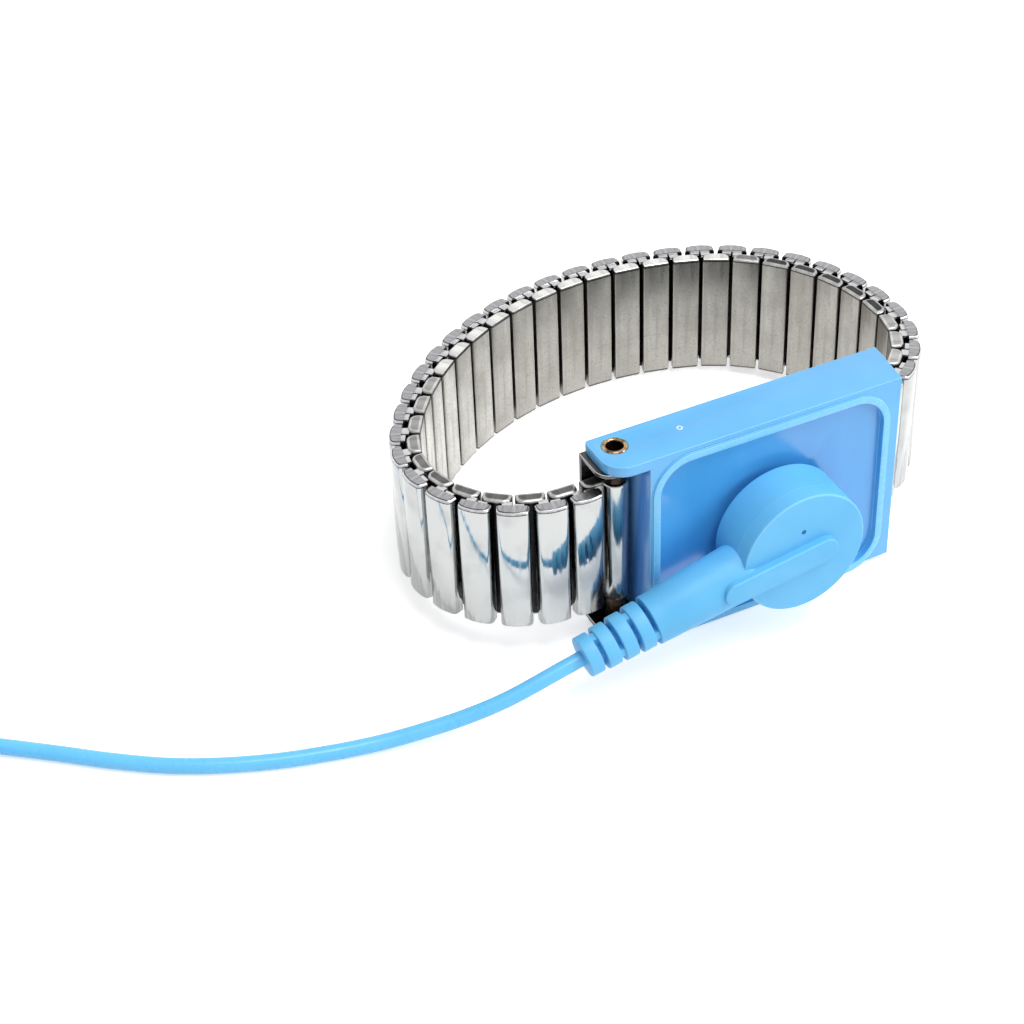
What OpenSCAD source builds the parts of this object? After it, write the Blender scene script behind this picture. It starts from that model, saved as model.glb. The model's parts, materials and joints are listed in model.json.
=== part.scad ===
/* [Case] */
// Length of the moulded case along the band
case_len = 40.4; // [34:0.1:52]
// How much longer the case is at its skin side
end_draft = 0.8; // [0:0.1:1]
// Height of the case
case_h = 28; // [25:0.5:36]
// Depth of the case from its skin side to the plain front
case_d = 7.2; // [6.4:0.1:10]
// Wall thickness of the moulding
wall = 1.4; // [1:0.1:2]
// Distance from the case's left end to the inset side wall
side_inset = 5.1; // [4.9:0.1:7]
// How far the two hinge ears stand out past the left end
ear_reach = 0.1; // [0:0.1:1]
// Corner radius of the ears at the front
ear_r = 3; // [1:0.1:4]
// Depth of the recess in the front panel
recess = 0.6; // [0.3:0.1:0.8]
// Width of the raised bead round the recess
bead_w = 0.95; // [0.7:0.05:1.6]
// Height of the bead above the plain front
bead_h = 0.3; // [0.2:0.05:0.6]
// Outer corner radius of the bead
bead_r = 5.2; // [3:0.1:7]
// Plain margin between the bead and the case's right end
bead_margin = 1.4; // [0.5:0.1:2]
// Distance from the bead to the case's left wall
bead_side = 0.3; // [0:0.1:0.6]
// Plain margin between the bead and the case's top
bead_top = 0.8; // [0.5:0.1:2]
// How far the bead drops below the case's lower edge at the front
lip_drop = 0.7; // [0:0.05:0.8]

/* [Steel frame and pins] */
// Thickness of the steel channel's sheet
channel_t = 0.5; // [0.3:0.05:0.7]
// Length of the channel's rails, measured from the skin side
rail_d = 3.6; // [2.8:0.1:4.5]
// Length of the channel's hinge lugs, measured from the skin side
lug_d = 6; // [5:0.1:6.5]
// How far the channel stands out past the case's left end
channel_reach = 0.8; // [0.5:0.1:1.2]
// Distance from each end of the case to its band pin
pin_inset = 2.75; // [2.4:0.05:3]
// Distance of both band pins from the skin side
pin_depth = 2.5; // [2.4:0.05:3]
// Outer radius of the tubular rivet's barrel
rivet_r = 1.3; // [1.1:0.05:1.5]
// Bore radius of the tubular rivet
rivet_bore = 1.05; // [0.7:0.05:1.1]
// Radius of the tubular rivet's rolled rims
rim_r = 1.65; // [1.5:0.01:2.2]
// Thickness of the rolled rims
rim_t = 0.3; // [0.2:0.05:0.5]
// How far the upper rim stands above the case
rim_proud = 0.15; // [0:0.05:0.3]
// Radius of the cross pin at the far end
far_pin_r = 1; // [0.8:0.05:1.2]
// Depth of the cross pin's blind seats in the case walls
far_pin_seat = 0.8; // [0.5:0.1:1.2]
// Radial running clearance on the band pins
pin_clear = 0.05; // [0.02:0.01:0.08]
// Outer radius of the end links' barrels
barrel_r = 1.7; // [1.6:0.05:1.9]

/* [Band] */
// Width of the expansion band
band_w = 18; // [14:0.5:20]
// Number of moving links
link_count = 33; // [30:1:36]
// Thickness of the outer row of links
outer_t = 1.6; // [1.4:0.05:1.8]
// Thickness of the inner row of links
inner_t = 1.8; // [1.6:0.05:1.9]
// Space between the two rows
row_gap = 0.65; // [0.6:0.05:0.9]
// How far the two rows are set outward from the line through the pins
row_shift = 0.15; // [0.1:0.01:0.25]
// Space between neighbours in the outer row, along the middle of the band
outer_gap = 0.3; // [0.2:0.05:0.8]
// Space between neighbours in the inner row, along the middle of the band
inner_gap = 0.7; // [0.6:0.05:1]
// Sheet thickness of the link shells
shell_t = 0.25; // [0.2:0.01:0.3]
// Drop of the outer links' crown at their edges
crown_drop = 0.35; // [0.2:0.05:0.5]
// Thickness of the staples and leaf springs
wire_t = 0.25; // [0.2:0.01:0.3]
// Width of a staple
staple_w = 0.8; // [0.5:0.05:0.9]
// Length of a staple's legs
staple_leg = 3; // [2:0.1:4]
// Distance of the staples from the ends of the links
staple_inset = 0.9; // [0.7:0.05:1.5]
// Straight run of the band where it leaves the rivet
lead_in = 6; // [5.4:0.1:6.6]
// Radius of the left bend
left_r = 14.1; // [13.8:0.1:16]
// Turn of the left bend in degrees
left_turn = 118.5; // [115:0.5:122]
// Turn of the long rear arc in degrees
rear_turn = 83; // [79:0.5:87]
// Turn of the rear right bend in degrees
right_turn = 73.5; // [70:0.5:77]
// Radius of the last bend, in to the case
last_r = 16.1; // [14.8:0.1:17]
// Turn of the last bend in degrees
last_turn = 78; // [75:0.5:81]

/* [Snap] */
// Distance of the stud's axis from the case's left end
stud_x = 22.5; // [18:0.1:26]
// Height of the stud's axis above the case's lower edge
stud_z = 12.5; // [11:0.1:16]
// Radius of the stud's round head
stud_r = 2; // [1.8:0.05:2.2]
// Radius of the stud's neck
neck_r = 1.7; // [1.4:0.05:1.75]
// Height of the stud above its base
stud_h = 3.2; // [2.8:0.1:3.4]
// Radius of the stud's base
base_r = 4.6; // [3.5:0.1:6]
// Thickness of the stud's base
base_t = 0.4; // [0.3:0.05:0.6]
// Radius of the rivet post inside the stud
post_r = 1.1; // [0.9:0.05:1.2]
// Radius of the rivet's head behind the panel
post_head_r = 2.6; // [2:0.1:3.5]
// Thickness of the contact strip
strip_t = 0.2; // [0.15:0.01:0.3]
// Width of the contact strip
strip_w = 6; // [4:0.5:8]
// Length of the strip's foot on the steel channel
strip_foot = 6; // [3:0.5:8]

/* [Snap plug] */
// Radius of the round plug at its back
head_r = 8.65; // [7.6:0.05:9]
// Taper of the plug's side from back to face
head_draft = 0.15; // [0:0.05:0.4]
// Thickness of the round plug
head_t = 7; // [6.4:0.1:8]
// Space between the bead and the back of the plug
head_lift = 0.3; // [0.2:0.05:0.6]
// Width of the raised bar across the face
bar_w = 3.3; // [2:0.1:4]
// Height of the bar above the face
bar_h = 1.1; // [0.9:0.1:1.5]
// Reach of the bar's centre line past the plug's centre
bar_far = 2.5; // [0:0.1:4.5]
// Reach of the bar's centre line out over the sleeve
bar_near = 10.2; // [9:0.1:12]
// How far the bar turns away from the sleeve's direction
bar_turn = 4; // [0:0.5:6]
// Downward slope of the cable sleeve in degrees
sleeve_slope = 13.2; // [5:0.1:14]
// Depth of the sleeve's axis below the face
sleeve_depth = 2.8; // [2.6:0.1:3.5]
// Radius of the sleeve next to the plug
sleeve_r = 3.7; // [3.2:0.05:4]
// How far the sleeve's round root sits inside the head's rim
sleeve_root = 0.4; // [0:0.1:1]
// Radius of the sleeve at its outer end
sleeve_end_r = 3.25; // [2.8:0.05:3.4]
// Distance of the sleeve's outer end from the plug's centre
sleeve_len = 20.8; // [19:0.1:24]
// Number of strain relief rings
ring_count = 4; // [3:1:5]
// Spacing of the strain relief rings
ring_pitch = 2.35; // [2.2:0.05:2.6]
// Thickness of a ring
ring_t = 1.75; // [1.2:0.05:1.8]
// Radius of the ring next to the sleeve
ring_r = 3.1; // [2.9:0.05:3.3]
// Radius of the last ring
ring_end_r = 2.65; // [2.5:0.05:3]
// Width of the bridges between the rings
bridge_w = 1.2; // [0.8:0.1:1.6]
// Radius of the moulded core inside the plug
core_r = 6.2; // [5.6:0.1:6.6]
// Height of the moulded core
core_h = 4; // [3.8:0.1:4.4]
// Outer radius of the snap socket
socket_r = 4; // [3.6:0.1:4.2]
// Height of the snap socket
socket_h = 2.6; // [2.4:0.1:2.8]
// Sheet thickness of the snap socket
socket_t = 0.3; // [0.2:0.05:0.4]
// Radius of the vent hole in the face
vent_r = 0.35; // [0.2:0.05:0.5]
// Distance of the vent hole from the plug's centre
vent_off = 3.4; // [2.4:0.1:4]
// How far the vent hole sits beside the stud's axis
vent_side = -0.3; // [-0.6:0.1:0.6]
// Radius of the resistor's body
resistor_r = 1.2; // [1:0.05:1.3]
// Length of the resistor's body
resistor_len = 6; // [5:0.1:6.6]
// Radius of the resistor's leads
lead_r = 0.3; // [0.2:0.05:0.4]
// Length of the crimp between the resistor and the cord
crimp_len = 3; // [2:0.1:3.4]

/* [Cord] */
// Diameter of the cord
cord_d = 2; // [1.8:0.05:2.2]
// Centre distance between neighbouring turns of the coil
turn_pitch = 2.45; // [2.42:0.01:2.7]
// Mean radius of the coil's turns
coil_r = 12.1; // [11.5:0.1:13.5]
// Number of turns in the coil
coil_turns = 22; // [18:1:24]
// Thickness of the tie round the coil
tie_t = 0.35; // [0.2:0.05:0.38]
// Width of the tie
tie_w = 4; // [2:0.5:8]
// Clearance between the tie and the coil
tie_gap = 0.3; // [0.2:0.05:0.5]

/* [Banana plug] */
// Radius of the plug's pin
banana_r = 2; // [1.9:0.05:2.1]
// Exposed length of the plug's pin
banana_len = 18; // [15:0.5:20]
// Width of the slots that make the pin springy
slot_w = 0.4; // [0.3:0.05:0.7]
// Length of the slots, from the tip
slot_len = 8; // [4:0.5:11]
// Radius of the grip
grip_r = 4.5; // [4:0.1:5.5]
// Length of the grip
grip_len = 30; // [24:0.5:36]

/* [Hidden] */
$fn = 64;
eps = 0.02;
rad = 180 / PI;

// Band layout, seen from above: X runs along the case, Y points from the front to the skin side and beyond
band_t = outer_t + row_gap + inner_t;
band_lo = (case_h - band_w) / 2;
out_face = band_t / 2 + row_shift;
out_floor = out_face - outer_t;
in_top = out_floor - row_gap;
in_face = row_shift - band_t / 2;

// The band is a straight run and four arcs. The radii of the two rear arcs close the loop on the far pin.
near_pin = [pin_inset, -pin_depth];
far_pin_at = [case_len - pin_inset, -pin_depth];
turns = [0, left_turn, rear_turn, right_turn, last_turn];
function turned(i) = i < 0 ? 0 : turns[i] + turned(i - 1);
function heading_in(i) = 180 - turned(i - 1);
function chord(i) = [
    sin(heading_in(i)) - sin(heading_in(i + 1)),
    cos(heading_in(i + 1)) - cos(heading_in(i))
];
to_close = far_pin_at - near_pin + [lead_in, 0] - left_r * chord(1) - last_r * chord(4);
close_det = chord(2)[0] * chord(3)[1] - chord(3)[0] * chord(2)[1];
rear_r = (to_close[0] * chord(3)[1] - chord(3)[0] * to_close[1]) / close_det;
right_r = (chord(2)[0] * to_close[1] - to_close[0] * chord(2)[1]) / close_det;
radii = [0, left_r, rear_r, right_r, last_r];
lengths = [for (i = [0:4]) i == 0 ? lead_in : radii[i] * turns[i] / rad];
function total(i) = i < 0 ? 0 : lengths[i] + total(i - 1);
band_len = total(4);
pitch = band_len / (link_count + 1);
outer_w = pitch - outer_gap;
inner_w = pitch - inner_gap;
crown_r = (pow(outer_w / 2, 2) + pow(crown_drop, 2)) / (2 * crown_drop);

// A place on the band is [x, y, heading]
function stepped(p, i, d) =
    i == 0
        ? [p[0] + d * cos(p[2]), p[1] + d * sin(p[2]), p[2]]
        : let (h = p[2] - d / radii[i] * rad)
          [p[0] + radii[i] * (sin(p[2]) - sin(h)), p[1] + radii[i] * (cos(h) - cos(p[2])), h];
function arc_start(i) = i == 0
    ? [near_pin[0], near_pin[1], 180]
    : stepped(arc_start(i - 1), i - 1, lengths[i - 1]);
function band_at(s, i = 0) =
    i == 4 || s <= lengths[i] ? stepped(arc_start(i), i, s) : band_at(s - lengths[i], i + 1);
link_places = [for (k = [1:link_count]) band_at(k * pitch)];
far_place = band_at(band_len);

// The case stands on its lower skin-side edge and the far links, so the whole strap leans back
crown_in = crown_r - out_face;
far_y = max([for (p = link_places) p[1] - crown_in * cos(p[2])]) + crown_r;
left_x = min([for (p = link_places) p[0] + crown_in * sin(p[2])]) - crown_r;
right_x = max([for (p = link_places) p[0] + crown_in * sin(p[2])]) + crown_r;
lean = atan(band_lo / far_y);

// Depths below are measured forward from the skin side
bead_face = case_d + bead_h;
recess_face = case_d - recess;
plate_back = case_d - wall;
boss_back = plate_back - 0.5;
boss_r = 6;
inside_w = channel_t + strip_t;
head_back = bead_face + head_lift;
head_face = head_back + head_t;
bar_face = head_face + bar_h;
sleeve_axis = head_face - sleeve_depth;
bar_mid = (bar_near - bar_far) / 2;
bar_half = (bar_near + bar_far) / 2;
bar_low = stud_z - (bar_mid + bar_half * cos(bar_turn)) * sin(sleeve_slope)
    + bar_half * sin(bar_turn) * cos(sleeve_slope) - bar_w / 2;
stud_top = recess_face + base_t + stud_h;
ring_start = sleeve_len + ring_pitch - ring_t;
relief_end = ring_start + (ring_count - 1) * ring_pitch + ring_t;
core_back = head_back + 0.8;
socket_back = head_back + 0.3;
fit_gap = 0.05;
bore_clear = 0.03;
resistor_start = 6.9;
resistor_end = resistor_start + resistor_len;
crimp_start = resistor_end + 1;
crimp_end = crimp_start + crimp_len;
crimp_r = 1.05;
cord_start = crimp_end + 0.1;

// Middle of the strap on the floor, with its snap plug
near_y = -cos(lean) * bar_face + sin(lean) * bar_low;
mid_x = (left_x + right_x) / 2;
mid_y = (near_y + cos(lean) * far_y + sin(lean) * (band_lo + band_w)) / 2;

// Cord: the points where it lies free, then the coil
cord_r = cord_d / 2;
function on_floor(x, y, z) = [
    x - mid_x,
    cos(lean) * y + sin(lean) * z - mid_y,
    cos(lean) * z - sin(lean) * y
];
function on_sleeve(d) = on_floor(
    stud_x - d * cos(sleeve_slope),
    -sleeve_axis,
    stud_z - d * sin(sleeve_slope)
);
function laid(x, y, z) = [x - mid_x, y - mid_y, z];
lead_route = [
    on_sleeve(cord_start),
    on_sleeve(relief_end),
    on_sleeve(relief_end + 3),
    laid(-16.8, -11.3, 4.4),
    laid(-22.4, -10.6, 3),
    laid(-27.8, -9.6, 2),
    laid(-32.4, -8.6, 1.3),
    laid(-36.9, -7.6, cord_r)
];
coil_mid = laid(-100.2, 5.5, 0);
coil_lift = tie_t + 0.05;
layers = 4;
layer_turns = coil_turns / layers;
coil_out = coil_r + layer_turns * turn_pitch / 2;
coil_from = 56;
coil_base = coil_lift + cord_r;
function coil_entry(d) = [
    coil_mid[0] + coil_out * cos(coil_from) + d * sin(coil_from),
    coil_mid[1] + coil_out * sin(coil_from) - d * cos(coil_from),
    coil_base
];
run_route = [
    laid(-36.9, -7.6, cord_r),
    laid(-43.6, -6, cord_r),
    laid(-50.1, -3.8, cord_r),
    laid(-56.3, -1, cord_r),
    laid(-62.2, 2.6, cord_r),
    laid(-67.9, 6.6, cord_r),
    laid(-74, 10.7, cord_r + 0.1),
    coil_entry(9),
    coil_entry(cord_d),
    coil_entry(0)
];

// Radius and height in the coil after u turns: it spirals in and out, and climbs where it turns back
function fold(v) = abs(v % 2 - 1);
function coil_radius(u) = coil_r + (fold(u / layer_turns) - 0.5) * layer_turns * turn_pitch;
function climbed(u, i = 1) =
    i == layers ? 0 : min(max((u - i * layer_turns) * 2 + 0.5, 0), 1) + climbed(u, i + 1);
function coil_point(u) = [
    coil_mid[0] + coil_radius(u) * cos(coil_from + 360 * u),
    coil_mid[1] + coil_radius(u) * sin(coil_from + 360 * u),
    coil_base + turn_pitch * climbed(u)
];
rings_per_turn = 24;
coil_points = [for (i = [0:coil_turns * rings_per_turn]) coil_point(i / rings_per_turn)];

// The cord's tail runs down from the top layer to the banana plug that lies beside the coil
grip_axis = grip_r;
tail_dir = [-sin(coil_from), cos(coil_from), 0];
tail_from = coil_point(coil_turns);
tail_to = [coil_mid[0] - 6, coil_mid[1] + coil_out + cord_r + 0.8 + grip_r, grip_axis];
tail_bend = 8;
function bezier(a, b, c, d, t) =
    a * pow(1 - t, 3) + b * 3 * t * pow(1 - t, 2) + c * 3 * t * t * (1 - t) + d * pow(t, 3);
tail_points = [
    for (i = [1:10])
        bezier(tail_from, tail_from + tail_bend * tail_dir, tail_to + [tail_bend, 0, 0], tail_to, i / 10)
];
tail_end = tail_to - [cord_d, 0, 0];

// Least gap between turns that lie within two turns of each other, and the cord's length
function apart(u, v) = norm(coil_point(u) - coil_point(v)) - cord_d;
coil_gap = min([
    for (i = [0:coil_turns * 12], n = [0.9:0.05:2 * layer_turns])
        if (i / 12 + n <= coil_turns) apart(i / 12, i / 12 + n)
]);
function route_len(p) = len(p) < 2 ? 0 : sum_len(p, 1);
function sum_len(p, i) = i >= len(p) ? 0 : norm(p[i] - p[i - 1]) + sum_len(p, i + 1);
echo(coil_gap = coil_gap, lean = lean, pitch = pitch, band_len = band_len);
echo(rear_r = rear_r, right_r = right_r);
echo(mid = [mid_x, mid_y], cord_len = route_len(lead_route) + route_len(run_route)
    + route_len(coil_points) + route_len(concat([tail_from], tail_points, [tail_end])));
echo(near_pin = near_pin, far_pin = far_pin_at, places = link_places, far_place = far_place);
echo(exit = on_sleeve(relief_end), stud_base = on_floor(stud_x, -recess_face, stud_z), tail_end = tail_end);

function link_name(k) = str("link_", k < 10 ? "0" : "", k);

// Puts a piece that is drawn on the upright case into the strap's leaning stance
module stance() {
    translate([-mid_x, -mid_y, 0])
        rotate([-lean, 0, 0])
            children();
}

// Puts a piece that is drawn round the stud's axis, with z forward from the skin side, on the case
module on_stud() {
    stance()
        translate([stud_x, 0, stud_z])
            rotate([90, 0, 0])
                children();
}

// Puts a piece that is drawn along z, outward from the plug's centre, on the cable sleeve's axis
module along_sleeve() {
    on_stud()
        translate([0, 0, sleeve_axis])
            rotate([0, 0, 180 + sleeve_slope])
                rotate([0, 90, 0])
                    children();
}

// A square with one named radius at each corner, starting lower left and going round
module plate_2d(x0, y0, x1, y1, r00, r10, r11, r01) {
    difference() {
        translate([x0, y0])
            square([x1 - x0, y1 - y0]);
        corner_2d(x0, y0, 1, 1, r00);
        corner_2d(x1, y0, -1, 1, r10);
        corner_2d(x1, y1, -1, -1, r11);
        corner_2d(x0, y1, 1, -1, r01);
    }
}

// What a corner of radius r takes off
module corner_2d(x, y, sx, sy, r) {
    if (r > 0)
        difference() {
            translate([x + (sx < 0 ? -r : -eps), y + (sy < 0 ? -r : -eps)])
                square(r + eps);
            translate([x + sx * r, y + sy * r])
                circle(r);
        }
}

// ---- Case, steel channel and pins ----

bead_lo = -lip_drop;
bead_hi = case_h - bead_top;
bead_left = side_inset + bead_side;
bead_right = case_len - bead_margin;

module bead_2d(inset) {
    plate_2d(bead_left + inset, bead_lo + inset, bead_right - inset, bead_hi - inset,
        bead_r - inset, bead_r - inset, bead_r - inset, bead_r - inset);
}

// Outline of the upper and lower walls with their ears
module wall_2d() {
    plate_2d(-ear_reach, -case_d, case_len + end_draft, 0, ear_r, 0, 0, 0.5);
}

module forward(from, to) {
    translate([0, -from, 0])
        rotate([90, 0, 0])
            linear_extrude(to - from)
                children();
}

module band_window(z_clear) {
    translate([case_len - wall - eps, -pin_depth - out_face - 0.8, band_lo - z_clear])
        cube([wall + end_draft + 2 * eps, pin_depth + out_face + 0.8 + eps, band_w + 2 * z_clear]);
}

// What the slope of the case's right end takes off
module end_slope() {
    tilt = end_draft / case_d;
    translate([0, 0, -1])
        linear_extrude(case_h + 2)
            polygon([
                [case_len - tilt, -case_d - 1],
                [case_len + 3, -case_d - 1],
                [case_len + 3, 1],
                [case_len + end_draft + tilt, 1]
            ]);
}

module case_shell() {
    color("deepskyblue")
        stance()
            difference() {
                union() {
                    linear_extrude(wall)
                        wall_2d();
                    translate([0, 0, case_h - wall])
                        linear_extrude(wall)
                            wall_2d();
                    translate([case_len - wall, -case_d + 0.8, 0])
                        cube([wall + end_draft, case_d - 0.8, case_h]);
                    translate([side_inset, -case_d, 0])
                        cube([wall, case_d - channel_t - fit_gap, case_h]);
                    forward(plate_back, case_d)
                        plate_2d(side_inset, 0, case_len + end_draft, case_h, 0, 0, 0, 0);
                    forward(recess_face - 0.1, case_d)
                        bead_2d(0);
                    forward(case_d - eps, bead_face)
                        bead_2d(0);
                    translate([stud_x, -boss_back, stud_z])
                        rotate([90, 0, 0])
                            cylinder(h = plate_back - boss_back + eps, r = boss_r);
                }
                forward(recess_face, bead_face + eps)
                    bead_2d(bead_w);
                band_window(0.6);
                end_slope();
                translate([near_pin[0], near_pin[1], -eps])
                    cylinder(h = case_h + 2 * eps, r = rivet_r + pin_clear);
                translate([near_pin[0], near_pin[1], -eps])
                    cylinder(h = rim_t + eps, r = rim_r + fit_gap);
                translate([near_pin[0], near_pin[1], case_h - rim_t + rim_proud])
                    cylinder(h = rim_t, r = rim_r + fit_gap);
                translate([far_pin_at[0], far_pin_at[1], wall - far_pin_seat])
                    cylinder(h = case_h - 2 * wall + 2 * far_pin_seat, r = far_pin_r + bore_clear);
                translate([stud_x, -boss_back + eps, stud_z])
                    rotate([90, 0, 0])
                        cylinder(h = case_d, r = post_r + fit_gap);
            }
}

module channel_rail() {
    linear_extrude(channel_t)
        union() {
            plate_2d(-channel_reach, -rail_d, case_len - wall - fit_gap, 0, 0, 0.5, 0, 0);
            plate_2d(-channel_reach, -lug_d, side_inset - fit_gap, 0, 2, 0.5, 0, 0);
        }
}

module clasp_channel() {
    color("silver")
        stance()
            difference() {
                union() {
                    translate([-channel_reach, -channel_t, wall + fit_gap])
                        cube([case_len - wall - fit_gap + channel_reach, channel_t,
                            case_h - 2 * wall - 2 * fit_gap]);
                    translate([0, 0, wall + fit_gap])
                        channel_rail();
                    translate([0, 0, case_h - wall - fit_gap - channel_t])
                        channel_rail();
                }
                for (z = [wall, case_h - wall - 2 * channel_t])
                    translate([side_inset - fit_gap, -case_d, z - fit_gap])
                        cube([wall + 2 * fit_gap, case_d - channel_t, 2 * channel_t + 2 * fit_gap]);
                translate([near_pin[0], near_pin[1], 0])
                    cylinder(h = case_h, r = rivet_r + pin_clear);
                translate([far_pin_at[0], far_pin_at[1], 0])
                    cylinder(h = case_h, r = far_pin_r + bore_clear);
            }
}

module hinge_rivet() {
    color("darkgoldenrod")
        stance()
            translate([near_pin[0], near_pin[1], 0])
                difference() {
                    union() {
                        cylinder(h = case_h + rim_proud, r = rivet_r);
                        cylinder(h = rim_t, r = rim_r);
                        translate([0, 0, case_h + rim_proud - rim_t])
                            cylinder(h = rim_t, r = rim_r);
                    }
                    translate([0, 0, -eps])
                        cylinder(h = case_h + 1, r = rivet_bore);
                }
}

module barrel(bore) {
    difference() {
        cylinder(h = band_w, r = barrel_r);
        translate([0, 0, -eps])
            cylinder(h = band_w + 2 * eps, r = bore);
    }
}

// A narrow inner shell joins the barrel on the rivet to the first moving link
module near_end_link() {
    color("gainsboro")
        stance()
            translate([near_pin[0], near_pin[1], band_lo])
                union() {
                    barrel(rivet_r + pin_clear);
                    difference() {
                        translate([-pitch + inner_gap / 2, 0, 0])
                            mirror([0, 1, 0])
                                translate([0, in_face, 0])
                                    cube([pitch - inner_gap / 2, inner_t, band_w]);
                        translate([0, 0, -eps])
                            cylinder(h = band_w + 2 * eps, r = (barrel_r + rivet_r) / 2);
                        translate([-pitch + inner_gap / 2 + shell_t, -in_top - eps, shell_t])
                            cube([pitch - inner_gap / 2 - 2 * shell_t - barrel_r, inner_t - shell_t + eps,
                                band_w - 2 * shell_t]);
                    }
                }
}

module far_pin() {
    color("silver")
        stance()
            translate([far_pin_at[0], far_pin_at[1], wall - far_pin_seat])
                cylinder(h = case_h - 2 * wall + 2 * far_pin_seat, r = far_pin_r);
}

module far_end_link() {
    color("gainsboro")
        stance()
            translate([far_pin_at[0], far_pin_at[1], band_lo])
                barrel(far_pin_r + pin_clear);
}

// ---- Expansion links ----

// Section of an outer shell with its sheet pulled in by t
module crowned_2d(t) {
    intersection() {
        translate([0, out_face - crown_r])
            circle(crown_r - t, $fn = 96);
        translate([-outer_w / 2 + t, out_floor - (t > 0 ? eps : 0)])
            square([outer_w - 2 * t, outer_t + 1]);
    }
}

module outer_shell() {
    difference() {
        linear_extrude(band_w)
            crowned_2d(0);
        translate([0, 0, shell_t])
            linear_extrude(band_w - 2 * shell_t)
                crowned_2d(shell_t);
    }
}

// The inner shell is a flat box, open to the outer row, from x0 to x1 along the band
module inner_shell(x0, x1) {
    difference() {
        translate([x0, in_face, 0])
            cube([x1 - x0, inner_t, band_w]);
        translate([x0 + shell_t, in_face + shell_t, shell_t])
            cube([x1 - x0 - 2 * shell_t, inner_t, band_w - 2 * shell_t]);
    }
}

// A staple hooks the outer shell to the inner shell of the same link
module staple() {
    x0 = pitch / 4 - staple_w / 2;
    y1 = out_floor + 0.45;
    y0 = in_top - 0.75;
    translate([x0, y0, 0])
        cube([staple_w, y1 - y0, wire_t]);
    translate([x0, y1 - wire_t, 0])
        cube([staple_w, wire_t, staple_leg]);
    translate([x0, y0, 0])
        cube([staple_w, wire_t, staple_leg]);
}

// The leaf spring lies in the outer shell, and its turned-down ends reach the inner row beside it
module leaf_spring() {
    y0 = out_floor + 0.5;
    half = outer_w / 2 - shell_t - 0.1;
    translate([-half, y0, staple_inset])
        cube([2 * half, wire_t, band_w - 2 * staple_inset]);
    for (z = [staple_inset, band_w - staple_inset - wire_t])
        translate([-half, in_top + 0.12, z])
            cube([0.9, y0 - in_top - 0.12 + eps, wire_t]);
}

module link(k) {
    here = link_places[k - 1];
    ahead = band_at((k + 0.5) * pitch);
    last = k == link_count;
    color(k % 2 == 0 ? "gainsboro" : "silver")
        stance()
            translate([0, 0, band_lo]) {
                translate([here[0], here[1], 0])
                    rotate([0, 0, here[2]]) {
                        outer_shell();
                        leaf_spring();
                        translate([0, 0, staple_inset])
                            staple();
                        translate([0, 0, band_w - staple_inset])
                            mirror([0, 0, 1])
                                staple();
                    }
                translate([ahead[0], ahead[1], 0])
                    rotate([0, 0, ahead[2]])
                        inner_shell(-inner_w / 2, last ? pitch / 2 - barrel_r - inner_gap / 2 : inner_w / 2);
            }
}

// ---- Snap stud ----

module snap_stud() {
    color("silver")
        on_stud()
            translate([0, 0, recess_face])
                difference() {
                    union() {
                        cylinder(h = base_t, r = base_r);
                        cylinder(h = base_t + stud_h - stud_r * 0.6, r = neck_r);
                        translate([0, 0, base_t + stud_h * 0.45])
                            cylinder(h = stud_h * 0.35, r = stud_r);
                        translate([0, 0, base_t + stud_h * 0.25])
                            cylinder(h = stud_h * 0.2, r1 = neck_r, r2 = stud_r);
                        translate([0, 0, base_t + stud_h * 0.8])
                            cylinder(h = stud_h * 0.2, r1 = stud_r, r2 = stud_r * 0.65);
                    }
                    translate([0, 0, -eps])
                        cylinder(h = base_t + stud_h * 0.6, r = post_r + bore_clear);
                }
}

module stud_rivet() {
    color("silver")
        on_stud() {
            translate([0, 0, boss_back - strip_t - 0.4])
                cylinder(h = 0.4, r = post_head_r);
            translate([0, 0, boss_back - strip_t - 0.2])
                cylinder(
                    h = recess_face + base_t + stud_h * 0.6 - boss_back + strip_t + 0.1,
                    r = post_r
                );
        }
}

// The strip carries the stud's contact down to the steel channel
module contact_strip() {
    x0 = -boss_r + 1;
    x1 = boss_r + 1;
    color("goldenrod")
        on_stud()
            difference() {
                union() {
                    translate([x0, -strip_w / 2, boss_back - strip_t])
                        cube([x1 - x0, strip_w, strip_t]);
                    translate([x1 - strip_t, -strip_w / 2, channel_t])
                        cube([strip_t, strip_w, boss_back - channel_t]);
                    translate([x1 - strip_t, -strip_w / 2, channel_t])
                        cube([strip_foot, strip_w, strip_t]);
                }
                translate([0, 0, boss_back - strip_t - eps])
                    cylinder(h = strip_t + 2 * eps, r = post_r + bore_clear);
            }
}

// ---- Snap plug ----

socket_hole = stud_r + 0.05;

module snap_socket() {
    color("silver")
        on_stud()
            translate([0, 0, socket_back])
                difference() {
                    cylinder(h = socket_h, r = socket_r);
                    translate([0, 0, -eps])
                        cylinder(h = socket_h - socket_t + eps, r = socket_hole + 0.5);
                    translate([0, 0, socket_t])
                        cylinder(h = socket_h - 2 * socket_t, r = socket_r - socket_t);
                }
}

// A split wire ring grips the stud's neck, below the socket's mouth
module socket_spring() {
    wire = 0.25;
    color("gray")
        on_stud()
            translate([0, 0, socket_back + socket_t + wire])
                difference() {
                    rotate_extrude()
                        translate([socket_hole + wire + 0.1, 0])
                            circle(wire, $fn = 24);
                    translate([0, -0.6, -1])
                        cube([socket_r, 1.2, 2]);
                }
}

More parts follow.
